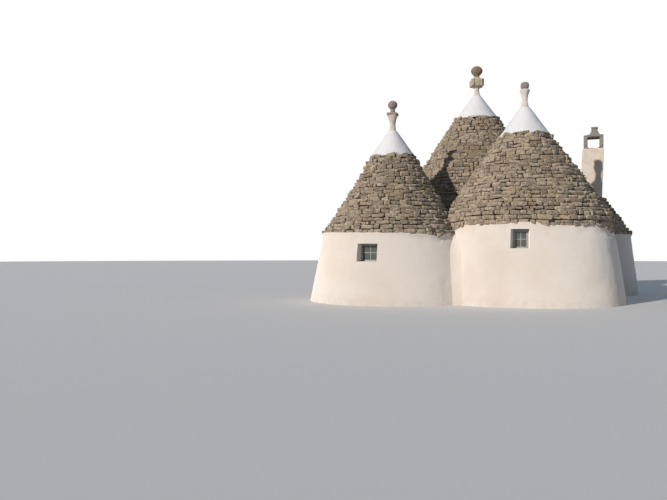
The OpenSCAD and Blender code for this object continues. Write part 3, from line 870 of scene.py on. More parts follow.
# %% [markdown]
# ### Corners between two drums
#
# Where two drums meet, years of lime have filled the sharp corner to a soft hollow, wider
# near the ground. It is a strip between the two faces, closed behind them: one flat ring is
# extruded upwards step by step, and each new ring is moved to its own places on the walls.

# %% Plaster the corners between two drums
corner_steps, corner_rings = 8, 22
corner_spread, corner_foot_spread, corner_foot_h = 0.11, 0.20, 0.6
corner_tuck = 0.6
corner_sink = 0.004


def drum_point(trullo, other, side, before, z):
    """A point of the drum's face at a height, at a distance before the valley with a neighbour."""
    point, normal = trullo.valley(other)
    axis = Vector((trullo.x, trullo.y, 0))
    along = (point - axis).length - before
    tangent = Vector((-normal.y, normal.x, 0)) * side
    place = axis + normal * along + tangent * math.sqrt(trullo.wall_r(z) ** 2 - along ** 2)
    push = -drum_wave(trullo, place.x, place.y, z) - corner_sink
    place += (place - axis).normalized() * push
    return Vector((place.x, place.y, z))


def corner_ring(first, second, side, top, z):
    """A curve from one drum's face to the other's through their corner, and a point behind it."""
    spread = corner_spread + corner_foot_spread * clamp((top - z) / corner_foot_h)
    start = drum_point(first, second, side, spread, z)
    end = drum_point(second, first, -side, spread, z)
    pit = (drum_point(first, second, side, 0, z) + drum_point(second, first, -side, 0, z)) / 2
    turns = [step / corner_steps for step in range(corner_steps + 1)]
    curve = [start * (1 - t) ** 2 + pit * 2 * t * (1 - t) + end * t ** 2 for t in turns]
    return curve + [pit + (pit - (start + end) / 2) * corner_tuck]


def build_corner(name, first, second, side):
    bm = bmesh.new()
    top = min(first.wall_top, second.wall_top) + lip_height
    rings = [corner_ring(first, second, side, top, top * k / corner_rings) for k in range(corner_rings + 1)]
    faces = [bm.faces.new([bm.verts.new(point) for point in rings[0]])]
    for ring in rings[1:]:
        pushed = bmesh.ops.extrude_face_region(bm, geom=[faces[-1]])["geom"]
        faces.append(next(item for item in pushed if isinstance(item, bmesh.types.BMFace)))
        for vert, point in zip(faces[-1].verts, ring):
            vert.co = point
    bmesh.ops.delete(bm, geom=faces[1:-1], context="FACES_ONLY")
    bmesh.ops.triangulate(bm, faces=[face for face in bm.faces if len(face.verts) > 4])
    bmesh.ops.recalc_face_normals(bm, faces=bm.faces)
    add_piece(name, bm, wall_white[first.name], sharp_angle=60)


build_corner("corner_right_left", right, left, 1)
build_corner("corner_right_rear", right, rear, -1)
build_corner("corner_left_rear", left, rear, 1)
build_corner("corner_rear_alcove", rear, alcove, 1)
build_corner("corner_alcove_front", rear, alcove, -1)

# %% [markdown]
# ## The roofs, stone by stone
#
# A large roof is twenty to thirty courses of split limestone, each set back from the one below.
# A few rough blocks are made first: a cube cut in three each way, its arrises pulled in and
# its faces broken by noise. Each stone in a course is a copy of one block, bent to the
# course's curve and stretched to its own width, height and depth. That bend mirrors the
# block, so its faces are reversed beforehand and point outwards afterwards. A stepped core
# behind the stones stands for the rubble in the joints, coloured near black as painted shade.

# %% Rough blocks
block_kinds = 16
block_line = (0.36, 0.33, 0.29)
block_noise = 0.03
broken_corner, plain_corner = ((0.80, 0.92), (0.55, 0.75)), ((0.91, 0.99), (0.80, 0.94))
arris, block_face = ((0.96, 1.00), (0.90, 0.99)), ((0.99, 1.02), (1.00, 1.07))


def build_block(seed):
    """A worn slab one unit wide, deep and high, about the origin; its ends stay nearly upright."""
    rng = random.Random(seed)
    bm = bmesh.new()
    bmesh.ops.create_cube(bm, size=1.0)
    bmesh.ops.subdivide_edges(bm, edges=bm.edges[:], cuts=2, use_grid_fill=True)
    broken = Vector([rng.choice((-0.5, 0.5)) for _ in range(3)])
    for vert in bm.verts:
        wear = block_face
        near_broken = (vert.co - broken).length < 0.2
        for axis in range(3):
            if abs(vert.co[axis]) < 0.4:
                vert.co[axis] *= block_line[axis] * 6
        outer = sum(abs(component) > 0.45 for component in vert.co)
        if near_broken:
            wear = broken_corner
        elif outer == 3:
            wear = plain_corner
        elif outer == 2:
            wear = arris
        across, worn = rng.uniform(*wear[0]), rng.uniform(*wear[1])
        vert.co = Vector((vert.co.x * across, vert.co.y * worn, vert.co.z * worn))
        vert.co += Vector([rng.uniform(-block_noise, block_noise) for _ in range(3)])
    bmesh.ops.reverse_faces(bm, faces=bm.faces)
    mesh = bpy.data.meshes.new(f"block_{seed}")
    bm.to_mesh(mesh)
    bm.free()
    return mesh


blocks = [build_block(seed) for seed in range(block_kinds)]
print(len(blocks), "blocks of", len(blocks[0].polygons), "faces")

# %% [markdown]
# ### Laying one stone
#
# No two stones lie quite alike: each gets its own depth, droop, turn, lean and roll, and the
# two numbers that the finish reads. Noise at two sizes, read at the stone's place, bends it.

# %% Lay one stone
stone_depths, stone_droops = (0.26, 0.34), (0.00, 0.12)
most_yaw, most_lean, most_roll = 0.060, 0.025, 0.024
usual_tone, tone_spread = 0.45, 0.32
# A tone below zero makes the roof finish paint the core almost black, as painted shade in the joints.
core_shade_tone, core_warmth = -0.5, 0.2
stone_bends = ((6.0, 0.014), (17.0, 0.013))


class Layer:
    """The bmesh that a roof's stones go into, with the two numbers that each stone carries."""

    def __init__(self, trullo, rng):
        self.trullo = trullo
        self.rng = rng
        self.bm = bmesh.new()
        self.laid = 0

    def start_marks(self):
        """Marks all that is there so far as core."""
        self.tone = self.bm.verts.layers.float.new("stone_tone")
        self.warmth = self.bm.verts.layers.float.new("stone_warmth")
        for vert in self.bm.verts:
            vert[self.tone] = core_shade_tone
            vert[self.warmth] = core_warmth

    def stone(self, span, levels, front_r):
        """Copies a block, bent to the ring between the angles in span and the two levels."""
        rng = self.rng
        depth = rng.uniform(*stone_depths)
        droop = rng.uniform(*stone_droops)
        yaw, lean, roll = (rng.uniform(-most, most) for most in (most_yaw, most_lean, most_roll))
        tone = clamp(rng.gauss(usual_tone, tone_spread))
        warm = rng.random()
        before = len(self.bm.verts)
        self.bm.from_mesh(rng.choice(blocks))
        self.bm.verts.ensure_lookup_table()
        for vert in self.bm.verts[before:]:
            across, back, up = vert.co
            angle = (span[0] + span[1]) / 2 + across * (span[1] - span[0])
            radius = front_r - (0.5 - back) * depth + across * yaw - up * lean
            bottom, top = sorted(level(angle) for level in levels)
            height = bottom + (up + 0.5) * (top - bottom) - (back - 0.5) * depth * droop + across * roll
            place = Vector((*self.trullo.at(radius, angle), height))
            for waves, bend in stone_bends:
                place += noise.noise_vector(place * waves) * bend
            vert.co = place
            vert[self.tone] = tone
            vert[self.warmth] = warm
        self.laid += 1


# %% [markdown]
# ### Laying one course
#
# Stones of many widths stand side by side with joints from tight to wide. Each starts and
# ends a little above or below its course's line and stands a little in or out, and some
# places take two thin stones, one on the other.

# %% Lay one course
stone_widths = (0.17, 0.20, 0.24, 0.28, 0.32, 0.38, 0.45)
joints = (-0.004, 0.006, 0.014, 0.026, 0.042)
narrowest_stone, tallest_stone = 0.16, 0.175
drops, lifts, fronts = (-0.014, 0.014), (-0.034, 0.006), (-0.040, 0.024)
tall_lift, tall_front = 0.05, 0.01
pair_chance = tall_chance = 0.05


def lay_course(layer, edges, course_r, wanted, front_at, odd):
    """Lays a ring of stones; wanted tells where one goes down, odd allows tall and paired ones."""
    rng = layer.rng
    angle = rng.uniform(0, 1)
    last = angle + 2 * math.pi
    while angle < last - 0.05:
        turn = min(rng.choice(stone_widths) * rng.uniform(0.85, 1.15), course_r * 0.55) / course_r
        if last - angle - turn < narrowest_stone / course_r:
            turn = last - angle
        gap = rng.choice(joints) / course_r
        span = (angle + gap / 2, angle + turn - gap / 2)
        middle = angle + turn / 2
        angle += turn
        if not wanted(middle):
            continue
        drop, lift = rng.uniform(*drops), rng.uniform(*lifts)
        front = front_at(middle) + rng.uniform(*fronts)
        if rng.random() < tall_chance * odd:
            lift += tall_lift
            front += tall_front

        def bottom(at):
            return edges[0](at) + drop

        def top(at):
            return edges[1](at) + lift

        if top(middle) - bottom(middle) > tallest_stone or rng.random() < pair_chance * odd:
            share = rng.uniform(0.4, 0.6)

            def between(at):
                return bottom(at) + (top(at) - bottom(at)) * share

            layer.stone(span, (bottom, between), front + rng.uniform(-0.005, 0.015))
            layer.stone(span, (between, top), front - rng.uniform(-0.005, 0.030))
        else:
            layer.stone(span, (bottom, top), front)


# %% [markdown]
# ### Where a course shows
#
# The plaster of each cap ends in tongues over the top stones. Its rim is marked like the line
# of the lime wash: by listed marks in front, by noise behind. Stones that would lie under the
# plaster or past a valley are left out, and the last course reaches just under the rim.

# %% Where the plaster of a cap ends
cap_rims = {
    "right": (
        (-3.10, 0.0), (-2.56, -0.030), (-2.46, 0.023), (-2.36, 0.047), (-2.14, 0.017), (-2.02, 0.027),
        (-1.95, 0.074), (-1.88, 0.049), (-1.74, 0.0), (-1.69, 0.051), (-1.63, 0.080), (-1.40, 0.082),
        (-1.34, 0.0), (-1.25, 0.0), (-1.19, 0.055), (-0.96, 0.052), (-0.71, 0.045), (0.0, 0.020),
    ),
    "left": (
        (-3.10, 0.0), (-2.35, -0.063), (-2.25, -0.014), (-2.09, -0.019), (-1.91, -0.069), (-1.78, -0.043),
        (-1.52, -0.037), (-1.44, -0.004), (-1.22, 0.020), (-1.14, -0.033), (-1.01, -0.037), (-0.85, 0.031),
        (-0.63, 0.037), (-0.45, 0.017), (-0.26, 0.035), (0.30, 0.0),
    ),
    "rear": (
        (-3.10, 0.0), (-2.46, -0.078), (-2.27, -0.056), (-1.97, -0.091), (-1.74, -0.118), (-1.57, -0.096),
        (-1.44, -0.067), (-1.26, -0.047), (-1.03, -0.059), (-0.90, -0.095), (-0.57, -0.061), (0.0, -0.060),
    ),
}


def rim_z(trullo, angle):
    """Height of the cap's ragged lower edge: as seen from the front, and by noise behind."""
    angle = math.remainder(angle, math.tau)
    marks = cap_rims[trullo.name]
    ragged = ring_wobble(angle, 2.6, trullo.x) * 0.05 + ring_wobble(angle, 6.5, trullo.x + 7) * 0.035
    ragged *= clamp(max(marks[1][0] - angle, angle - marks[-2][0]) / 0.3)
    return trullo.roof_top + along_marks(marks, angle) + ragged


# %% The edges of a course
rim_cover = 0.045
thinnest_stone = 0.075
course_slip = 0.016


def lowest_edge(trullo):
    """The line of the lime wash, as a function of the bearing."""
    return lambda angle: stone_line(trullo, *trullo.at(trullo.wall_top_r(), angle)) - 0.006


def course_edge(trullo, level):
    """The wavy joint between two courses; one that comes close to the plaster ends under it."""
    def height(angle):
        edge = level + ring_wobble(angle, 1.4, level * 1.7 + trullo.x) * 0.036
        edge += ring_wobble(angle, 5.0, level * 9) * 0.012
        if trullo is alcove:
            return edge
        cover = rim_z(trullo, angle) + rim_cover
        return cover if edge > cover - thinnest_stone else edge
    return height


def course_shows(trullo, radius, low_edge):
    """Tells at which bearings a course shows: on its own side, and not under the plaster."""
    def shows(angle):
        under = trullo is not alcove and low_edge(angle) > rim_z(trullo, angle) - 0.02
        return trullo.inside(*trullo.at(radius - 0.1, angle), 0.10) and not under
    return shows


def course_front(trullo, course_r, k):
    """The radius of the stones' faces in course k: the lowest ones start at the wall's face."""
    start, step = 0.004, 0.03
    return lambda angle: min(course_r, trullo.wall_top_r() + overhang(trullo, angle) + start + step * k)


# %% Lay all the courses of a roof
core_inset, core_lap, core_slack = 0.12, 0.30, 0.005


def add_core(bm, trullo, levels):
    """Adds the core that shows in the joints, one step for each course; its near-black tone is painted
    shade.
    """
    core = [(trullo.room_r + core_lap, trullo.wall_top + core_slack)]
    for low, high in zip(levels, levels[1:]):
        radius = trullo.roof_r((low + high) / 2) - core_inset
        core += [(radius, low + core_slack), (radius, high - core_slack)]
    if trullo is alcove:
        core += [(0.30, trullo.roof_top - 0.01)]
    else:
        core += [(0.02, trullo.roof_top), (0.02, trullo.roof_top - 0.08)]
    core_bm = bmesh.new()
    spin_profile(core_bm, core, trullo, 72)
    cut_valleys(core_bm, trullo)
    add_shape(bm, core_bm)


def build_roof(trullo, courses, seed):
    layer = Layer(trullo, random.Random(seed))
    rise = (trullo.roof_top - trullo.wall_top) / courses
    rows = courses if trullo is alcove else courses + 2
    levels = [trullo.wall_top + k * rise for k in range(rows + 1)]
    add_core(layer.bm, trullo, levels[:courses + 1])
    layer.start_marks()
    edges = [lowest_edge(trullo)]
    for level in levels[1:]:
        edges.append(course_edge(trullo, level + layer.rng.uniform(-course_slip, course_slip)))
    for k in range(rows):
        course_r = trullo.roof_r(levels[k] + rise / 2)
        wanted, front_at = course_shows(trullo, course_r, edges[k]), course_front(trullo, course_r, k)
        lay_course(layer, edges[k:k + 2], course_r, wanted, front_at, odd=k < courses - 2)
    print(trullo.name, "roof:", layer.laid, "stones")
    name = f"{trullo.name}_roof"
    add_piece(f"{name}_stones", layer.bm, roof_stone, [name], 50)


build_roof(right, 23, 11)
build_roof(left, 21, 12)
build_roof(rear, 30, 13)
build_roof(alcove, 11, 14)

# %% [markdown]
# ## The caps
#
# Plaster covers the last courses with a smooth cone. Its lower edge isn't level: it runs
# over the stones in tongues and leaves some of their tips bare. The profile is spun, and its
# lowest rings are then moved up or down along the cone to the edge that the stones left room
# for.

# %% Caps
cap_rings, cap_thickness = 22, 0.06
tongue_reach = 0.45


def cap_profile(base_r, top_r, base_z, top_z):
    """A closed cone with a ledge under it, as thick as the plaster."""
    shares = [k / cap_rings for k in range(cap_rings + 1)]
    cone = [(base_r + (top_r - base_r) * share, base_z + (top_z - base_z) * share) for share in shares]
    return [(axis_r, base_z), (base_r - cap_thickness, base_z)] + cone + [(axis_r, top_z)]


def build_cap(trullo, base_r, top_r):
    name = f"{trullo.name}_cap"
    base_z, top_z = box_heights(name)
    bm = bmesh.new()
    spin_profile(bm, cap_profile(base_r, top_r, base_z, top_z), trullo, 144)
    for vert in bm.verts:
        out = Vector((vert.co.x - trullo.x, vert.co.y - trullo.y, 0))
        radius = out.length
        if radius < top_r * 0.9:
            continue
        out.normalize()
        on_cone = radius > base_r - 0.03 or vert.co.z > base_z + 0.001
        fall = max(0.0, 1 - (vert.co.z - base_z) / tongue_reach)
        lifted = vert.co.z + (rim_z(trullo, math.atan2(out.y, out.x)) - base_z) * fall
        swell = 0.008 * fall ** 3 + wobble(vert.co.x * 3, vert.co.y * 3, lifted * 3) * 0.010
        cone_r = base_r + (top_r - base_r) * (lifted - base_z) / (top_z - base_z)
        new_r = cone_r + (swell if on_cone else -cap_thickness)
        vert.co = Vector((trullo.x + out.x * new_r, trullo.y + out.y * new_r, lifted))
    add_piece(f"{name}_plaster", bm, cap_plaster, [name], 60)


build_cap(right, 0.850, 0.155)
build_cap(left, 0.750, 0.136)
build_cap(rear, 0.790, 0.145)

# %% [markdown]
# ## Blocks with worn edges
#
# Frames, posts and slabs start as cubes. A bevel wears their arrises, and a matrix puts them
# in place: the window at its bearing, the chimney at its turn.


# %% Add a block to a bmesh
def add_block(bm, low, high, wear, matrix=None, top_scale=1.0, cuts=0, segments=2):
    """A block between two corners, with worn arrises; top_scale narrows its top."""
    middle = [(a + b) / 2 for a, b in zip(low, high)]
    size = [b - a for a, b in zip(low, high)]
    before = set(bm.verts)
    verts = bmesh.ops.create_cube(bm, size=1.0)["verts"]
    for vert in verts:
        scale = top_scale if vert.co.z > 0 else 1.0
        vert.co = Vector((
            middle[0] + vert.co.x * size[0] * scale,
            middle[1] + vert.co.y * size[1] * scale,
            middle[2] + vert.co.z * size[2],
        ))
    edges = new_edges(bm, before)
    if cuts:
        bmesh.ops.subdivide_edges(bm, edges=edges, cuts=cuts, use_grid_fill=True)
        edges = sharp_edges(new_edges(bm, before), 0.5)
    if wear:
        wear_arrises(bm, edges, wear, segments)
    if matrix is not None:
        bmesh.ops.transform(bm, matrix=matrix, verts=[vert for vert in bm.verts if vert not in before])


def add_square(bm, half, low, high, wear, **more):
    """A square block, centred on the upright axis."""
    add_block(bm, (-half, -half, low), (half, half, high), wear, **more)


# %% [markdown]
# ## The windows
#
# Each window is a frame of four bars and a cross of thin glazing bars, with one sheet of
# glass between them. It stands on a low sill of lime plaster, which the walls' holes leave at
# their foot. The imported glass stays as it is.

# %% Windows
frame_bar, frame_t = 0.05, 0.06
bar_w, bar_t = 0.022, 0.030
frame_wear, bar_wear = 0.006, 0.004
bar_raise = 0.02


def window_bars(half):
    """The bars of one window: thickness, left and right ends, foot and head, and wear."""
    inner, middle = half - frame_bar, window_h / 2 + bar_raise
    foot, head = window_foot + frame_bar, window_h - frame_bar
    rail_t, rail = frame_t - 0.004, inner + 0.004
    return (
        (frame_t, -half, -inner, window_foot, window_h, frame_wear),
        (frame_t, inner, half, window_foot, window_h, frame_wear),
        (rail_t, -rail, rail, window_foot, foot, frame_wear),
        (rail_t, -rail, rail, head, window_h, frame_wear),
        (bar_t, -bar_w / 2, bar_w / 2, foot, head, bar_wear),
        (bar_t - 0.002, -inner, inner, middle - bar_w / 2, middle + bar_w / 2, bar_wear),
    )


def build_window_frames():
    bm = bmesh.new()
    for window in windows:
        pane = Matrix.Translation((window.pane_r, 0, window.sill))
        place = turned_to(window.trullo, window.turn) @ pane
        for thick, start, end, foot, head, wear in window_bars(window.pane_w / 2):
            add_block(bm, (-thick / 2, start, foot), (thick / 2, end, head), wear, place)
    add_piece("window_bars", bm, window_paint, ["window_frames"], 30)


build_window_frames()

# %% [markdown]
# ## The door
#
# The doorway faces away from the photograph, so its door is a plain guess: an arched frame,
# filled with upright planks. Frame and planks are flat outlines, pushed to their thickness.

# %% Door
frame_w = 0.07
plank_count, plank_gap, plank_steps = 6, 0.002, 4
plank_foot = 0.004
door_steps = 18


def arch_outline(width):
    """An arch of the door from its right foot over its head to its left foot."""
    head = arch_points(width, door_spring, door_steps)
    return [(width / 2, floor_top)] + head + [(-width / 2, floor_top)]


def add_leaf(bm, outline, front, back, wear):
    """Pushes an upright outline of (across, height) points from front to back, and wears it."""
    before = set(bm.verts)
    prism(bm, [(rear.x + x, front, z) for x, z in outline], (0, back - front, 0))
    wear_arrises(bm, sharp_edges(new_edges(bm, before), 1.0), wear)


def build_door_frame():
    bm = bmesh.new()
    low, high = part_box("door_frame")
    outline = arch_outline(door_w) + arch_outline(door_w - 2 * frame_w)[::-1]
    add_leaf(bm, outline, low[1], high[1], 0.006)
    bmesh.ops.recalc_face_normals(bm, faces=bm.faces)
    add_piece("door_frame_wood", bm, door_wood, ["door_frame"], 30)


def build_door_planks():
    bm = bmesh.new()
    low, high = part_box("door_leaf")
    half = door_w / 2 - frame_w - plank_gap
    width = 2 * half / plank_count
    rng = random.Random(5)
    for k in range(plank_count):
        x0, x1 = -half + k * width + plank_gap, -half + (k + 1) * width - plank_gap
        head = [(x0 + (x1 - x0) * step / plank_steps) for step in range(plank_steps + 1)]
        outline = [(x0, floor_top + plank_foot)]
        outline += [(x, door_spring + math.sqrt(max(half ** 2 - x ** 2, 0.0001))) for x in head]
        outline += [(x1, floor_top + plank_foot)]
        add_leaf(bm, outline, low[1] + 0.002, high[1] - 0.001 - rng.uniform(0.0, 0.004), 0.005)
    bmesh.ops.recalc_face_normals(bm, faces=bm.faces)
    add_piece("door_planks", bm, door_wood, ["door_leaf"], 30)


build_door_frame()
build_door_planks()

# %% [markdown]
# ## The pinnacles
#
# Each cap carries its own sign: a vase and a worn block on the right, a vase, a square slab
# and a ball on the left, a thick cross and a flattened ball on the rear one. They are carved
# stone, weathered for a long time, so noise takes their arrises off.
#
# A vase is a turned form, so it is a spun profile. A few corners give its foot, waist and lip,
# and a curve through the middles of the sides between them rounds it.

# %% Vases
vase_bed = 0.02


def smooth_profile(corners, steps=4):
    """Rounds a profile of (radius, height) corners: a curve through the middles of its sides."""
    points = [corners[0], corners[1]]
    for before, corner, after in zip(corners[1:], corners[2:], corners[3:-1]):
        start = [(a + b) / 2 for a, b in zip(before, corner)]
        end = [(a + b) / 2 for a, b in zip(corner, after)]
        for k in range(steps + 1):
            t = k / steps
            points.append(tuple(
                (1 - t) ** 2 * a + 2 * t * (1 - t) * b + t ** 2 * c for a, b, c in zip(start, corner, end)
            ))
    return points + list(corners[-2:])


def build_vase(node, trullo, material, foot_r, body, head):
    """Spins a vase: body radii go with heights over its foot, head radii with depths under its top."""
    low, high = box_heights(node)
    corners = [(axis_r, low - vase_bed), (foot_r, low - vase_bed)]
    corners += [(r, low + height) for r, height in body] + [(r, high - depth) for r, depth in head]
    profile = smooth_profile(corners + [(axis_r, high)])
    bm = bmesh.new()
    spin_profile(bm, ring_points(profile, 0.02) + [profile[-1]], trullo, 48)
    lump(bm.verts, 0.16, 0.010)
    lump(bm.verts, 0.05, 0.004)
    add_piece(f"{node}_worn", bm, material, [node], 50)


build_vase(
    "right_pinnacle_vase", right, vase_stone, 0.135,
    body=((0.118, 0.10), (0.086, 0.24), (0.104, 0.38), (0.150, 0.50), (0.166, 0.54)),
    head=((0.165, 0.012), (0.150, 0)),
)
build_vase(
    "left_pinnacle_vase", left, pale_stone, 0.120,
    body=((0.106, 0.09), (0.090, 0.21), (0.112, 0.33), (0.150, 0.45), (0.174, 0.49)),
    head=((0.178, 0.006), (0.168, 0)),
)
build_vase(
    "rear_pinnacle_neck", rear, neck_stone, 0.150,
    body=((0.122, 0.05), (0.098, 0.13)), head=((0.093, 0.01), (0.092, 0)),
)

# %% [markdown]
# The block on the right vase and the ball on the left one are the same form, more or less
# square: a sphere whose corners are pushed out by one power, then worn by noise inwards only,
# so that neither grows past its own box.


# %% Balls, round or blocky
def build_ball(node, squareness, wear):
    low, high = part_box(node)
    half = Vector([(b - a) / 2 for a, b in zip(low, high)])
    middle = Vector([(a + b) / 2 for a, b in zip(low, high)])
    bm = bmesh.new()
    bmesh.ops.create_uvsphere(bm, u_segments=36, v_segments=22, radius=1.0)
    for vert in bm.verts:
        norm = sum(abs(component) ** squareness for component in vert.co) ** (1 / squareness)
        vert.co = middle + vert.co / norm * half * 0.985
        if vert.co.z < low[2] + 0.01:
            vert.co.z = low[2] + 0.002
    for vert in bm.verts:
        shift = noise.noise_vector(vert.co * 7.0) * wear + noise.noise_vector(vert.co * 26.0) * wear * 0.35
        inward = (middle - vert.co).normalized()
        vert.co += shift * 0.5 + inward * (shift.length * 0.5)
    add_piece(f"{node}_worn", bm, brown_stone, [node], 60)


build_ball("right_pinnacle_ball", 2.7, 0.012)
build_ball("left_pinnacle_ball", 2.1, 0.010)


# %% [markdown]
# Under the left ball lies a square slab with a short turned neck on it: a block and a spun
# profile in one mesh, lumped together.

# %% Left slab and neck
slab_h, slab_inset = 0.08, 0.012


def build_left_slab():
    node = "left_pinnacle_slab"
    low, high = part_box(node)
    bm = bmesh.new()
    start = (low[0] + slab_inset, low[1] + slab_inset, low[2])
    add_block(bm, start, (high[0] - slab_inset, high[1] - slab_inset, low[2] + slab_h), 0.014, cuts=5)
    neck_foot = low[2] + 0.03
    profile = [
        (axis_r, neck_foot), (0.088, neck_foot), (0.080, low[2] + 0.13), (0.086, high[2]), (axis_r, high[2]),
    ]
    neck = bmesh.new()
    spin_profile(neck, profile, left, 32)
    add_shape(bm, neck)
    lump(bm.verts, 0.12, 0.007)
    add_piece(f"{node}_worn", bm, slab_stone, [node], 40)


build_left_slab()

# %% [markdown]
# The rear cross is two thick flat crosses that go through each other at a right angle, with a
# soft round core that fills the corners between their arms, as weather leaves them.

# %% Rear cross
cross_half, cross_thick, cross_core_gap = 0.295, 0.15, 0.003
cross_turns = (-30, 60)
cross_core = ((0.01, 0.0), (0.10, 0.0), (0.23, 0.18), (0.25, 0.5), (0.23, 0.8), (0.12, 1.0), (0.01, 1.0))
cross_side = ((0.11, 0), (0.15, 0.30), (cross_half, 0.18), (cross_half, 0.82), (0.15, 0.70), (0.11, 1))


def build_cross():
    node = "rear_pinnacle_cross"
    low, high = box_heights(node)
    other_side = tuple((-x, share) for x, share in cross_side)
    outline = other_side[:1] + cross_side + other_side[:0:-1]
    bm = bmesh.new()
    for degrees in cross_turns:
        points = [(x, -cross_thick / 2, low + share * (high - low)) for x, share in outline]
        before = set(bm.verts)
        prism(bm, points, (0, cross_thick, 0), turned_to(rear, math.radians(degrees)))
        bmesh.ops.triangulate(bm, faces=[face for face in bm.faces if len(face.verts) > 4])
        bmesh.ops.subdivide_edges(bm, edges=new_edges(bm, before), cuts=3, use_grid_fill=True)
    bmesh.ops.recalc_face_normals(bm, faces=bm.faces)
    wear_arrises(bm, sharp_edges(bm.edges, 0.6), 0.012)
    foot, height = low + cross_core_gap, high - low - 2 * cross_core_gap
    core = [(r, foot + share * height) for r, share in cross_core]
    spin_profile(bm, ring_points(core, 0.04) + [core[-1]], rear, 24)
    for vert in bm.verts:
        vert.co += noise.noise_vector(vert.co * 9.0) * 0.008
    add_piece(f"{node}_worn", bm, cross_stone, [node], 40)


build_cross()

# %% [markdown]
# The rear ball is a turned form too: a flattened ball, a little narrower below its middle, on
# a short foot that stands in the cross.

# %% Rear ball
ball_h, ball_middle_share = 0.369, 5 / 9
ball_narrowing, ball_slack = 0.16, 0.992
foot_turn, steps_per_quarter = -6, 12


def build_rear_ball():
    node = "rear_pinnacle_ball"
    low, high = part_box(node)
    ball_r = (high[0] - low[0]) / 2
    middle_z = high[2] - ball_h * ball_middle_share
    profile = [(axis_r, low[2]), (0.108, low[2]), (0.100, low[2] + 0.05)]
    for k in range(foot_turn, steps_per_quarter + 1):
        turn = math.radians(90 * k / steps_per_quarter)
        narrowing = 1 + ball_narrowing * min(0.0, math.sin(turn))
        reach = ball_slack * ball_r * math.cos(turn) * narrowing
        height = middle_z + ball_slack * (high[2] - middle_z) * math.sin(turn)
        profile.append((max(axis_r, reach), height))
    bm = bmesh.new()
    spin_profile(bm, profile, rear, 40)
    for vert in bm.verts:
        inward = Vector((rear.x - vert.co.x, rear.y - vert.co.y, middle_z - vert.co.z))
        worn = noise.noise(vert.co * 6.0) * 0.014 + noise.noise(vert.co * 20.0) * 0.006
        if vert.co.z > low[2] + 0.01:
            vert.co += inward.normalized() * abs(worn)
    add_piece(f"{node}_worn", bm, rusty_stone, [node], 60)


build_rear_ball()

# %% [markdown]
# ## The chimney
#
# The stack is lime-washed, narrows a little and has soft corners. On it stand four short
# posts under one slab, so that the smoke leaves on all sides and the rain stays out. The
# posts are what is left of a block after two arched tunnels go through it.

# %% Place the chimney
chimney_turn = math.radians(-4.5)
stack_foot_w, stack_w, flue_w = 0.82, 0.775, 0.40
stack_lean, hood_shift, finial_shift = 0.085, 0.098, 0.138
hood_w, post_w = 0.72, 0.14


def worn_piece(node, bm, material, size, depth, shift=0.0):
    """Lumps a piece of the chimney, turns it into its place and makes it replace its node."""
    lump(bm.verts, size, depth)
    lump(bm.verts, size / 4, 0.004, 3.0)
    place = turned_to(alcove, chimney_turn) @ Matrix.Translation((shift, 0, 0))
    bmesh.ops.transform(bm, matrix=place, verts=bm.verts)
    add_piece(f"{node}_worn", bm, material, [node], 40)


# %% Stack
def build_stack():
    node = "chimney_stack"
    low, high = box_heights(node)
    bm = bmesh.new()
    add_square(bm, stack_foot_w / 2, low, high, 0.03, top_scale=stack_w / stack_foot_w, cuts=14, segments=3)
    for vert in bm.verts:
        vert.co.x += stack_lean * (vert.co.z - low) / (high - low)
    flue = bmesh.new()
    add_square(flue, flue_w / 2, low - 0.1, high + 0.1, 0)
    boolean_cut(bm, flue)
    worn_piece(node, bm, chimney_white, 0.35, 0.012)


build_stack()


# %% Posts
def tunnel_outline(half, low, high, corner, steps=5):
    """Upright opening with a flat head and rounded lower corners, as (across, height) points."""
    turns = [math.radians(90 * k / steps) for k in range(steps + 1)]
    foot = [(half - corner + corner * math.sin(t), low + corner - corner * math.cos(t)) for t in turns]
    return foot + [(half, high), (-half, high)] + [(-x, z) for x, z in reversed(foot)]


def build_posts():
    node = "chimney_posts"
    low, high = box_heights(node)
    bm = bmesh.new()
    add_square(bm, hood_w / 2, low, high, 0.012, cuts=9)
    outline = tunnel_outline(hood_w / 2 - post_w, low + 0.012, high - 0.004, 0.085)
    for points, push in (
        ([(x, -1, z) for x, z in outline], (0, 2, 0)),
        ([(-1, y, z) for y, z in outline], (2, 0, 0)),
    ):
        tunnel = bmesh.new()
        prism(tunnel, points, push)
        boolean_cut(bm, tunnel)
    worn_piece(node, bm, post_stone, 0.15, 0.008, hood_shift)


build_posts()


# %% [markdown]
# The hood is a slab with a low stone roof on it, and the finial is a small block with a waist
# under a cover slab: blocks again, narrowed upwards.

# %% Hood and finial
hood_inset, hood_slab_h, hood_lap, hood_narrowing = 0.01, 0.068, 0.018, 0.58
finial_w, finial_cover_w, finial_cover_h = 0.39, 0.245, 0.055
finial_waist = 0.53


def build_hood():
    node = "chimney_hood"
    low, high = box_heights(node)
    half = hood_w / 2
    bm = bmesh.new()
    add_square(bm, half, low, low + hood_slab_h, 0.014, cuts=7)
    roof_foot = low + hood_slab_h - hood_lap
    add_square(bm, half - hood_inset, roof_foot, high, 0.012, top_scale=hood_narrowing, cuts=7)
    worn_piece(node, bm, hood_stone, 0.2, 0.010, hood_shift)


def build_finial():
    node = "chimney_finial"
    low, high = box_heights(node)
    top = high - 0.035
    neck = top - finial_cover_h
    bm = bmesh.new()
    add_square(bm, finial_w / 2, low - 0.01, neck, 0.014, cuts=7)
    for vert in bm.verts:
        fall = 1 - clamp((vert.co.z - low) / (neck - low))
        waist = finial_waist + (1 - finial_waist) * fall ** 1.8
        vert.co.x *= waist
        vert.co.y *= waist
    add_square(bm, finial_cover_w / 2, neck - 0.004, top, 0.012, cuts=5)
    worn_piece(node, bm, hood_stone, 0.12, 0.008, finial_shift)


build_hood()
build_finial()

# %% [markdown]
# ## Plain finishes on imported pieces
#
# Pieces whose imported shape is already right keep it, and only get their material.


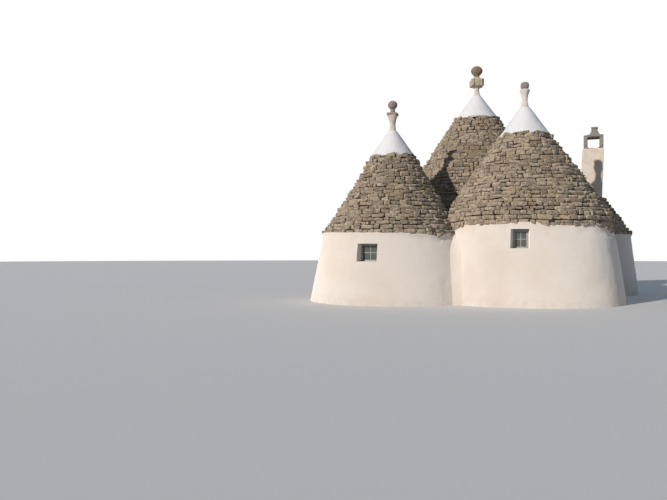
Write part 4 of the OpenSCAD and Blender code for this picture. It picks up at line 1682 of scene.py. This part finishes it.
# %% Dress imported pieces
def dress(material, *names):
    for name in names:
        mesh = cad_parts[name].data
        mesh.materials.clear()
        mesh.materials.append(material)
    print(material.name, "on", *names)


dress(dome_stone, "right_dome", "left_dome", "rear_dome")
dress(floor_stone, "floor", "door_sill")
dress(window_glass, "window_panes")

# %% [markdown]
# ## Floor, light and background
#
# The house stands on a plain pale floor under a warm sun and soft light. The sun is the key
# light. It comes from the left front at about twenty-two degrees, as in the photograph: the
# shadow of the right pinnacle falls on the chimney, and that of the left cone on the rear one.

# %% Floor
stage_mesh = bpy.data.meshes.new("stage_floor")
stage_bm = bmesh.new()
bmesh.ops.create_circle(stage_bm, cap_ends=True, radius=120, segments=96)
stage_bm.to_mesh(stage_mesh)
stage_bm.free()
stage_floor = bpy.data.objects.new("stage_floor", stage_mesh)
bpy.context.scene.collection.objects.link(stage_floor)
stage_mesh.materials.append(Finish("stage_floor", (0.77, 0.745, 0.72), 0.9).material)

# %% Key light
key_heading = Vector((0.473, 0.804, -0.373))
key_data = bpy.data.lights.new("key", "SUN")
key_data.energy = 3.15
key_data.color = (1.0, 0.94, 0.87)
key_data.angle = math.radians(0.8)
key = bpy.data.objects.new("key", key_data)
key.rotation_euler = key_heading.to_track_quat("-Z", "Y").to_euler()
bpy.context.scene.collection.objects.link(key)
print("key light falls at", round(math.degrees(math.asin(-key_heading.z / key_heading.length))), "degrees")

# %% [markdown]
# The world gives the blue fill of the open sky. To the camera, and in gloss and glass, the same
# world is plain white, so the background adds no light to the house.

# %% World
sky_blue, sky_strength = (0.52, 0.73, 1.0), 0.255
white, white_strength = (1.0, 1.0, 1.0), 1.0

world = bpy.data.worlds.new("world")
world.use_nodes = True
bpy.context.scene.world = world
sky = Graph(world.node_tree)
rays = sky.node("LightPath", {}).outputs
seen = sky.math("MAXIMUM", rays["Is Camera Ray"], rays["Is Glossy Ray"])
seen = sky.math("MAXIMUM", seen, rays["Is Transmission Ray"])
background = sky.nodes["Background"]
sky.put(background.inputs["Color"], sky.mix(seen, sky_blue, white))
sky.put(background.inputs["Strength"], sky.remap(seen, 0.0, 1.0, sky_strength, white_strength))
bpy.context.scene.view_settings.view_transform = "Standard"
